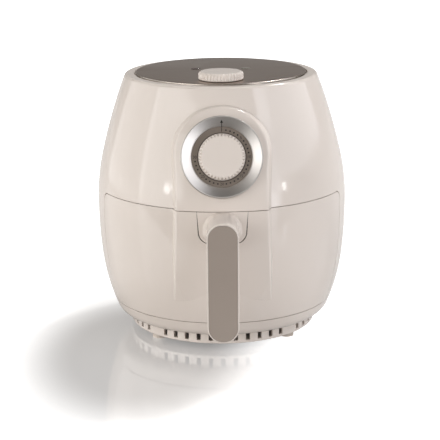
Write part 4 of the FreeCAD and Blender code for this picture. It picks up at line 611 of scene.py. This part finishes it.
class FRYER_OT_knobs(bpy.types.Operator):
    """Turn the two ribbed knobs"""

    bl_idname = "fryer.knobs"
    bl_label = "Knobs"

    def execute(self, context):
        sizes = context.scene.fryer_sizes
        upright = Matrix.Translation(joint_named("temperature_turn")["pos_m"])
        knobs = {"timer": (DIAL, sizes.timer_groove), "temperature": (upright, sizes.temperature_groove)}
        points, marks = knob_profile(sizes)
        for body, (station, groove) in knobs.items():
            values = {"Segments": sizes.ribs * RIB_SEGMENTS, "Ribs": sizes.ribs, "Groove depth": groove,
                      "Material": gloss_abs()}
            mesh = grown(points, turned_tree(), values, marks)
            seat = Matrix.Translation((0, 0, knob_base(body, station)))
            mesh.transform(station @ seat)
            smooth(mesh, 50, outward=True)
            new_piece(body + "_knob_ribbed", mesh, body, [body + "_knob"])
        return {"FINISHED"}


def knob_base(body, station):
    """Level of a knob's lower edge over its station, read from the CAD knob."""
    back = station.inverted()
    return min((back @ point.co).z for point in frame["nodes"][body + "_knob"].data.vertices)


def quarter_round(centre, radius, steps):
    """Points of a rounded edge in a half section, from its outer side to its top."""
    turns = [math.pi / 2 * step / steps for step in range(steps + 1)]
    return [(centre[0] + radius * math.cos(turn), centre[1] + radius * math.sin(turn)) for turn in turns]


def knob_profile(sizes):
    """Half section of a knob from the bore end round the outside to the top, with the groove mark of each
    point."""
    section = [
        (0, sizes.knob_bore_top),
        (sizes.knob_bore, sizes.knob_bore_top),
        (sizes.knob_bore, sizes.knob_boss_low),
        (sizes.knob_boss, sizes.knob_boss_low),
        (sizes.knob_boss, sizes.knob_roof),
        (sizes.knob_cavity, sizes.knob_roof),
        (sizes.knob_cavity, 0),
        (sizes.knob_radius - sizes.knob_lip, 0),
        (sizes.knob_radius, sizes.knob_lip),
        (sizes.knob_radius, sizes.knob_flange),
    ]
    plain = len(section)
    section.append((sizes.knob_radius, sizes.knob_flange + sizes.groove_start))
    centre = (sizes.knob_radius - sizes.knob_round, sizes.knob_height - sizes.knob_round)
    section += quarter_round(centre, sizes.knob_round, 14)
    # One ring of points on the flat top keeps its long faces apart from the rounded edge
    top_ring = centre[0] * 0.6
    section += [(top_ring, sizes.knob_height), (0, sizes.knob_height)]
    run_out = sizes.knob_radius - sizes.groove_fade
    marks = [min(1.0, max(0.0, (radius - run_out) / sizes.groove_fade)) for radius, _ in section]
    marks[:plain] = [0.0] * plain
    return [(radius, 0, level) for radius, level in section], marks


class FRYER_OT_dial(bpy.types.Operator):
    """Finish the timer dial: spun bezel, scale, print and a dark ink ring that paints the shade round the
    knob
    """

    bl_idname = "fryer.dial"
    bl_label = "Timer dial"

    def execute(self, context):
        sizes = context.scene.fryer_sizes
        film = sizes.print_height
        bezel = turned_ring(bezel_profile(sizes), bezel_aluminium(), DIAL)
        map_turning(bezel)
        new_piece("bezel_spun", bezel, "housing", ["timer_bezel"])
        dress(scale_aluminium(), "timer_scale")
        scale_level = max(point.z for point in dial_points(frame["nodes"]["timer_scale"].data))
        print_level = DIAL @ Matrix.Translation((0, 0, scale_level + film / 2))
        values = {"Marks": sizes.minutes, "Step": sizes.minute_step, "Leave out every": sizes.numeral_step,
                  "Circle": sizes.dot_circle, "Radius": sizes.dot_radius, "Height": film,
                  "Material": print_ink()}
        dots = grown([(0, 0, 0)], marks_tree(), values)
        dots.transform(print_level)
        # Painted shadow: a thin ring of dark ink round the knob, for the shade in the gap at its edge
        near = sizes.knob_radius + sizes.ring_gap
        far = near + sizes.ring_width
        painted_shadow_band = [(near, 0, 0), (far, 0, 0), (far, 0, film), (near, 0, film), (near, 0, 0)]
        scale_top = DIAL @ Matrix.Translation((0, 0, scale_level))
        prints = {"dial_dots": dots, "dial_numerals": numerals(sizes, print_level),
                  "dial_index": index_line(sizes, bezel),
                  "dial_ring": turned_ring(painted_shadow_band, print_ink(), scale_top)}
        for name, mesh in prints.items():
            new_piece(name, mesh, "housing")
        return {"FINISHED"}


def dial_points(mesh):
    """A mesh's points in the dial frame."""
    return [TO_DIAL @ point.co for point in mesh.vertices]


def bezel_profile(sizes):
    """Section of the bezel, closed: back, rounded outer edge and a straight cone down to the scale. The
    limits are read from the CAD bezel."""
    points = dial_points(frame["nodes"]["timer_bezel"].data)
    reach = [math.hypot(point.x, point.y) for point in points]
    inner, outer = min(reach), max(reach)
    back = min(point.z for point in points)
    front = max(point.z for point in points)
    bore_slack = 0.05 * MM
    low = max(point.z for point, radius in zip(points, reach) if radius < inner + bore_slack)
    edge = sizes.bezel_edge
    section = [(inner, low), (inner, back), (outer, back)]
    section += quarter_round((outer - edge, front - edge), edge, 6)
    section += [(outer - edge - sizes.bezel_rim, front), (inner, low)]
    return [(radius, 0, level) for radius, level in section]


def map_turning(mesh):
    """UV map in metres: U along the turning direction, V along the radius."""
    layer = mesh.uv_layers.new(name="turning")
    points = dial_points(mesh)
    for face in mesh.polygons:
        middle = TO_DIAL @ face.center
        heading = math.atan2(middle.y, middle.x)
        for loop in face.loop_indices:
            point = points[mesh.loops[loop].vertex_index]
            turn = math.atan2(point.y, point.x) - heading
            turn = (turn + math.pi) % math.tau - math.pi
            reach = math.hypot(point.x, point.y)
            layer.data[loop].uv = ((heading + turn) * reach, reach + point.z)


def numerals(sizes, level):
    """Upright minute figures where the dots are left out."""
    # The figures of the built-in font are about 0.7 of its size high
    font_size = sizes.numeral_height * 1.4
    joined = bmesh.new()
    for minute in range(sizes.numeral_step, sizes.minutes + 1, sizes.numeral_step):
        letters = bpy.data.curves.new("figure", "FONT")
        letters.body = str(minute)
        letters.size = font_size
        letters.align_x = "CENTER"
        letters.align_y = "CENTER"
        letters.extrude = sizes.print_height / 2
        holder = bpy.data.objects.new("figure", letters)
        bpy.context.scene.collection.objects.link(holder)
        seen = holder.evaluated_get(bpy.context.evaluated_depsgraph_get())
        mesh = bpy.data.meshes.new_from_object(seen)
        turn = minute * sizes.minute_step
        spot = (sizes.dot_circle * math.sin(turn), sizes.dot_circle * math.cos(turn), 0)
        mesh.transform(level @ Matrix.Translation(spot))
        joined.from_mesh(mesh)
        bpy.data.objects.remove(holder)
        bpy.data.curves.remove(letters)
        bpy.data.meshes.remove(mesh)
    result = bpy.data.meshes.new("figures")
    bmesh.ops.remove_doubles(joined, verts=joined.verts, dist=MERGE_REACH)
    joined.to_mesh(result)
    joined.free()
    result.materials.append(print_ink())
    return result


def index_line(sizes, bezel):
    """Index line and arrow at the top of the dial, laid on the scale and the cone of the bezel."""
    grounds = []
    for mesh in (frame["nodes"]["timer_scale"].data, bezel):
        faces = [face.vertices for face in mesh.polygons]
        grounds.append(BVHTree.FromPolygons(dial_points(mesh), faces))
    above = 20 * MM

    def ground(up):
        """Height of the surface under a point of the line, none over the joint between scale and bezel."""
        start = Vector((0, up, above))
        found = [tree.ray_cast(start, Vector((0, 0, -1)))[0] for tree in grounds]
        return max((hit.z for hit in found if hit), default=None)

    line_steps = 24
    arrow_steps = 6
    tip_half = 0.05 * MM
    rows = []
    for step in range(line_steps + 1):
        reach = sizes.index_inner + (sizes.index_outer - sizes.index_inner) * step / line_steps
        rows.append((sizes.index_width / 2, reach))
    for step in range(arrow_steps + 1):
        share = step / arrow_steps
        reach = sizes.index_outer + (sizes.arrow_end - sizes.index_outer) * share
        rows.append((max(tip_half, sizes.arrow_width / 2 * (1 - share)), reach))
    work = bmesh.new()
    rings = []
    for half, reach in rows:
        base = ground(reach)
        if base is None:
            continue
        top = base + sizes.print_height
        corners = [(-half, reach, base), (half, reach, base), (half, reach, top), (-half, reach, top)]
        rings.append([work.verts.new(DIAL @ Vector(corner)) for corner in corners])
    for near, far in zip(rings, rings[1:]):
        for side in range(4):
            after = (side + 1) % 4
            work.faces.new((near[side], near[after], far[after], far[side]))
    work.faces.new(rings[0])
    work.faces.new(rings[-1])
    bmesh.ops.recalc_face_normals(work, faces=work.faces)
    result = bpy.data.meshes.new("index")
    work.to_mesh(result)
    work.free()
    result.materials.append(print_ink())
    return result


class FRYER_OT_deck(bpy.types.Operator):
    """Finish the top plate and its lamps"""

    bl_idname = "fryer.deck"
    bl_label = "Top plate and lamps"

    def execute(self, context):
        sizes = context.scene.fryer_sizes
        plate = frame["nodes"]["top_plate"].data.copy()
        smooth(plate, 25)
        layer = plate.uv_layers.new(name="brush")
        for loop in plate.loops:
            point = plate.vertices[loop.vertex_index].co
            layer.data[loop.index].uv = (point.x, point.y + point.z)
        plate.materials.clear()
        plate.materials.append(plate_steel())
        plate.materials.append(edge_steel())
        top = max(point.co.z for point in plate.vertices)
        # Turned-down faces take the lighter edge steel, partly a painted highlight along the edge
        for face in plate.polygons:
            reach = math.hypot(face.center.x, face.center.y - axis_y)
            turned_down = reach > sizes.plate_edge and face.center.z < top - sizes.plate_bend
            face.material_index = int(turned_down)
        new_piece("plate_brushed", plate, "housing", ["top_plate"])
        dress(lens("acrylic_red_moulded", colours().heat_lens), "lamp_heat")
        dress(lens("acrylic_pale_moulded", colours().power_lens), "lamp_power")
        return {"FINISHED"}


class FRYER_OT_chamber(bpy.types.Operator):
    """Finish the heating chamber, the fan, the motor and the controls"""

    bl_idname = "fryer.chamber"
    bl_label = "Heating chamber"

    def execute(self, context):
        dress(chamber_sheet(), "chamber_liner", "chamber_dome", "guide_rails")
        dress(heater_steel(), "heating_element")
        dress(fan_sheet(), "convection_fan")
        dress(motor_paint(), "motor_body")
        dress(dark_abs(), "thermostat", "timer_body", "cooling_fan")
        dress(brass(), "thermostat_nut")
        dress(zinc_steel(), "heater_clips", "motor_bracket", "motor_shaft", "fan_nut", "thermal_cutout",
              "timer_spindle", "thermostat_spindle")
        return {"FINISHED"}


class FRYER_OT_basket(bpy.types.Operator):
    """Finish the pan, the basket and its grate"""

    bl_idname = "fryer.basket"
    bl_label = "Pan and basket"

    def execute(self, context):
        dress(coated_steel(), "pan", "basket", "basket_floor")
        dress(zinc_steel(), "basket_bracket", "basket_rivets")
        return {"FINISHED"}


class FRYER_OT_screws(bpy.types.Operator):
    """Set the cross-head screws"""

    bl_idname = "fryer.screws"
    bl_label = "Screws"

    def execute(self, context):
        sizes = context.scene.fryer_sizes
        tree = screws_tree()
        # Body of each group of screws, the axis along which they are driven and the side their heads face
        groups = {"foot_screws": ("housing", 2, -1), "liner_screws": ("housing", 2, 1),
                  "drawer_screws": ("drawer", 1, 1), "tongue_screws": ("drawer", 1, 1)}
        for name, (body, axis, facing) in groups.items():
            seats, shank = screw_seats(name, axis, facing, sizes)
            heading = Vector([facing if place == axis else 0 for place in range(3)])
            turn = heading.to_track_quat("Z", "Y").to_euler()
            values = {"Head radius": sizes.screw_head, "Head height": sizes.screw_rise,
                      "Shank radius": sizes.screw_shank, "Shank length": shank,
                      "Recess length": sizes.recess_length, "Recess width": sizes.recess_width,
                      "Recess depth": sizes.recess_depth, "Turn": turn, "Material": zinc_steel()}
            mesh = grown(seats, tree, values)
            smooth(mesh, 35)
            new_piece(name + "_cross", mesh, body, [name])
        return {"FINISHED"}


def screw_seats(name, axis, facing, sizes):
    """Seats under the heads of a group of screws, and their shank length, read from the CAD box."""
    low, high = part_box(name)
    face = high[axis] if facing > 0 else low[axis]
    shank = high[axis] - low[axis] - sizes.screw_rise
    choices = []
    for place in range(3):
        ends = {round(low[place] + sizes.screw_head, 6), round(high[place] - sizes.screw_head, 6)}
        choices.append([face - facing * sizes.screw_rise] if place == axis else sorted(ends))
    return [(x, y, z) for x in choices[0] for y in choices[1] for z in choices[2]], shank


class FRYER_OT_stage(bpy.types.Operator):
    """Set the floor, the light and the camera"""

    bl_idname = "fryer.stage"
    bl_label = "Stage"

    def execute(self, context):
        stage = context.scene.fryer_stage
        build_floor(stage)
        build_world(context.scene, stage)
        build_lights(stage)
        place_camera(context.scene, stage)
        return {"FINISHED"}


def ray_shares(tree, stage):
    """How much white a ray sees: a socket that is 1 for the camera, and a node for shiny surfaces."""
    path = add(tree, "ShaderNodeLightPath").outputs
    rays = {0: path["Is Glossy Ray"], 1: path["Is Transmission Ray"]}
    shiny = add(tree, MATH, rays, operation="MAXIMUM")
    return path["Is Camera Ray"], add(tree, MATH, {0: shiny, 1: stage.mirror}, operation="MULTIPLY")


def build_floor(stage):
    """White sheet that ends in front of the object. Its own glow is weakest in an oval to the front left, a
    painted shadow, and white farther off.
    """
    mesh = bpy.data.meshes.new("floor")
    reach = 6.0
    front = axis_y - stage.floor_front
    corners = [(-reach, front, 0), (reach, front, 0), (reach, reach, 0), (-reach, reach, 0)]
    mesh.from_pydata(corners, [], [(0, 1, 2, 3)])
    floor = bpy.data.objects.new("floor", mesh)
    bpy.context.scene.collection.objects.link(floor)
    # Polished white acrylic under clear glass: a clear reflection over plain white
    material = surface("acrylic_polished", stage.floor, 0.004, 400, (0.02, 0.03), 30, 0.0, IOR=1.5,
                       Coat_Roughness=0.02, Coat_IOR=1.5)
    tree = material.node_tree
    shader = tree.nodes["Principled BSDF"]
    shader.inputs["Emission Color"].default_value = (1, 1, 1, 1)
    place = add(tree, "ShaderNodeTexCoord").outputs["Object"]
    dim = (stage.dim_side, axis_y - stage.dim_front, 0)
    # The dim spot is painted shadow, an oval where the sheet glows less: its edge is where this length is 1
    oval = {"Vector": place, "Location": dim, "Scale": (stage.dim_wide, stage.dim_deep, 1)}
    spot = add(tree, "ShaderNodeMapping", oval, vector_type="TEXTURE")
    share = add(tree, "ShaderNodeVectorMath", {0: spot}, operation="LENGTH").outputs["Value"]
    # Painted shadow: the glow rises from its least in the core to white at the oval's edge
    span = {"Value": share, "From Min": stage.dim_core, "From Max": 1.0, "To Min": stage.glow_near,
            "To Max": stage.glow_far}
    clear = add(tree, "ShaderNodeMapRange", span, interpolation_type="SMOOTHSTEP")
    camera, shiny = ray_shares(tree, stage)
    seen = add(tree, MATH, {0: camera, 1: shiny}, operation="MAXIMUM")
    glow = add(tree, MATH, {0: seen, 1: clear}, operation="MULTIPLY")
    tree.links.new(glow.outputs[0], shader.inputs["Emission Strength"])
    # The glass ends away from the object, so that the backdrop stays white at flat angles
    offset = add(tree, "ShaderNodeVectorMath", {0: place, 1: dim}, operation="DISTANCE").outputs["Value"]
    span = {"Value": offset, "From Min": stage.glass_near, "From Max": stage.glass_far, "To Min": 1.0,
            "To Max": 0.0}
    glass = add(tree, "ShaderNodeMapRange", span, interpolation_type="SMOOTHSTEP")
    tree.links.new(glass.outputs[0], shader.inputs["Coat Weight"])
    mesh.materials.append(material)


def build_world(scene, stage):
    """White to the camera, and behind the object also to metal and glass. Diffuse light comes from a dim
    studio, with a broad fill from the front left and a dim ground beyond the sheet."""
    # Sines of the angles over which the horizon, the wall's top and the wall's sides blur, then the power
    # that gathers the fill
    horizon_blur = 0.05
    wall_blur = 0.08
    side_blur = 0.3
    fill_focus = 4.0
    world = bpy.data.worlds.new("studio")
    world.use_nodes = True
    tree = world.node_tree
    heading = add(tree, "ShaderNodeTexCoord").outputs["Generated"]
    axes = add(tree, "ShaderNodeSeparateXYZ", {0: heading}).outputs
    toward = Vector((-math.sin(stage.fill_bearing), -math.cos(stage.fill_bearing), 0))
    facing = add(tree, "ShaderNodeVectorMath", {0: heading, 1: toward}, operation="DOT_PRODUCT")
    front = add(tree, MATH, {0: facing.outputs["Value"], 1: 0.0}, operation="MAXIMUM")
    spread = add(tree, MATH, {0: front, 1: fill_focus}, operation="POWER")
    above = add(tree, MATH, {0: spread, 1: stage.fill, 2: stage.sky}, operation="MULTIPLY_ADD")
    span = {"Value": axes["Z"], "From Min": -horizon_blur, "From Max": horizon_blur, "To Min": stage.ground,
            "To Max": above}
    studio = add(tree, "ShaderNodeMapRange", span)
    back = add(tree, "ShaderNodeMapRange", {"Value": axes["Y"], "From Min": 0.0, "From Max": side_blur})
    span = {"Value": axes["Z"], "From Min": stage.wall, "From Max": stage.wall + wall_blur, "To Min": 1.0,
            "To Max": stage.ceiling}
    low = add(tree, "ShaderNodeMapRange", span)
    behind = add(tree, MATH, {0: back, 1: low}, operation="MULTIPLY")
    camera, shiny = ray_shares(tree, stage)
    mirrored = add(tree, MATH, {0: shiny, 1: behind}, operation="MULTIPLY")
    white = add(tree, MATH, {0: camera, 1: mirrored}, operation="MAXIMUM")
    strength = add(tree, "ShaderNodeMix", {0: white, 2: studio, 3: 1.0})
    shades = {0: white, 6: (*stage.studio, 1), 7: (1, 1, 1, 1)}
    colour = add(tree, "ShaderNodeMix", shades, data_type="RGBA")
    tree.links.new(strength.outputs[0], tree.nodes["Background"].inputs["Strength"])
    tree.links.new(colour.outputs[2], tree.nodes["Background"].inputs["Color"])
    scene.world = world


# Bearing from the front to the right in degrees, distance from the body axis, height, height of the aim on
# that axis, width and height of the lit face, power, and whether the lamp is cool. Lengths are in metres.
Lamp = namedtuple("Lamp", "bearing reach height aim width tall watts cool")
LAMPS = {
    # Broad soft boxes beside the body
    "soft_left": Lamp(-52, 1.3, 0.46, 0.46, 1.3, 0.9, 7.8, False),
    "side_left": Lamp(-100, 1.1, 0.46, 0.46, 1.1, 0.88, 3.0, False),
    "soft_right": Lamp(84, 1.2, 0.75, 0.75, 1.4, 0.9, 5.8, True),
    # Upright strips whose reflections run down the right of the body
    "strip_right": Lamp(46, 1.2, 0.85, 0.85, 0.3, 1.65, 4.5, True),
    "strip_low": Lamp(40, 1.18, -0.12, -0.12, 0.34, 0.6, 1.4, True),
    # Small bulbs that show as a bright point on each side of the dial
    "bulb_left": Lamp(-49, 1.08, 0.2, 0.15, 0.07, 0.07, 0.2, False),
    "bulb_right": Lamp(56, 1.08, 0.2, 0.15, 0.07, 0.07, 0.2, False),
    # Key light behind on the right, which throws the shadow forward to the left
    "key_back": Lamp(140, 1.27, 1.8, 0.0, 0.18, 0.18, 21, False),
}


def build_lights(stage):
    """Set the lamps round the body axis."""
    for name, row in LAMPS.items():
        lamp = bpy.data.lights.new(name, "AREA")
        lamp.shape = "RECTANGLE"
        lamp.size = row.width
        lamp.size_y = row.tall
        lamp.energy = row.watts
        lamp.color = stage.cool if row.cool else (1, 1, 1)
        turn = math.radians(row.bearing)
        place = Vector((row.reach * math.sin(turn), axis_y - row.reach * math.cos(turn), row.height))
        item = bpy.data.objects.new(name, lamp)
        item.location = place
        toward = Vector((0, axis_y, row.aim)) - place
        item.rotation_euler = toward.to_track_quat("-Z", "Y").to_euler()
        bpy.context.scene.collection.objects.link(item)


def place_camera(scene, stage):
    """Set the camera at the photograph's viewing angle."""
    camera_lens = bpy.data.cameras.new("camera")
    camera_lens.lens = stage.lens
    camera_lens.sensor_width = 36
    camera_lens.clip_start = 0.05
    camera = bpy.data.objects.new("camera", camera_lens)
    camera.location = (-stage.distance * math.sin(stage.azimuth),
                       axis_y - stage.distance * math.cos(stage.azimuth), stage.height)
    swing = Matrix.Rotation(stage.pan - stage.azimuth, 4, "Z")
    tilt = Matrix.Rotation(math.pi / 2 - stage.pitch, 4, "X")
    lean = Matrix.Rotation(-stage.roll, 4, "Z")
    camera.rotation_euler = (swing @ tilt @ lean).to_euler()
    scene.collection.objects.link(camera)
    scene.camera = camera
    scene.view_settings.view_transform = "Standard"


STEPS = (FRYER_OT_moulding, FRYER_OT_knobs, FRYER_OT_dial, FRYER_OT_deck, FRYER_OT_chamber, FRYER_OT_basket,
         FRYER_OT_screws, FRYER_OT_stage)
GROUPS = {"fryer_colours": FryerColours, "fryer_sizes": FryerSizes, "fryer_stage": FryerStage}


class FRYER_PT_panel(bpy.types.Panel):
    """Lists the finishing steps"""

    bl_idname = "FRYER_PT_panel"
    bl_label = "Fryer"
    bl_space_type = "VIEW_3D"
    bl_region_type = "UI"
    bl_category = "Fryer"

    def draw(self, context):
        for step in STEPS:
            self.layout.operator(step.bl_idname)


def register():
    for item in (*GROUPS.values(), *STEPS, FRYER_PT_panel):
        bpy.utils.register_class(item)
    for name, group in GROUPS.items():
        setattr(bpy.types.Scene, name, bpy.props.PointerProperty(type=group))


def unregister():
    for name in GROUPS:
        delattr(bpy.types.Scene, name)
    for item in (FRYER_PT_panel, *reversed(STEPS), *reversed(GROUPS.values())):
        bpy.utils.unregister_class(item)


def main():
    register()
    for step in STEPS:
        family, name = step.bl_idname.split(".")
        getattr(getattr(bpy.ops, family), name)()
    bpy.context.view_layer.update()


if __name__ == "__main__":
    main()
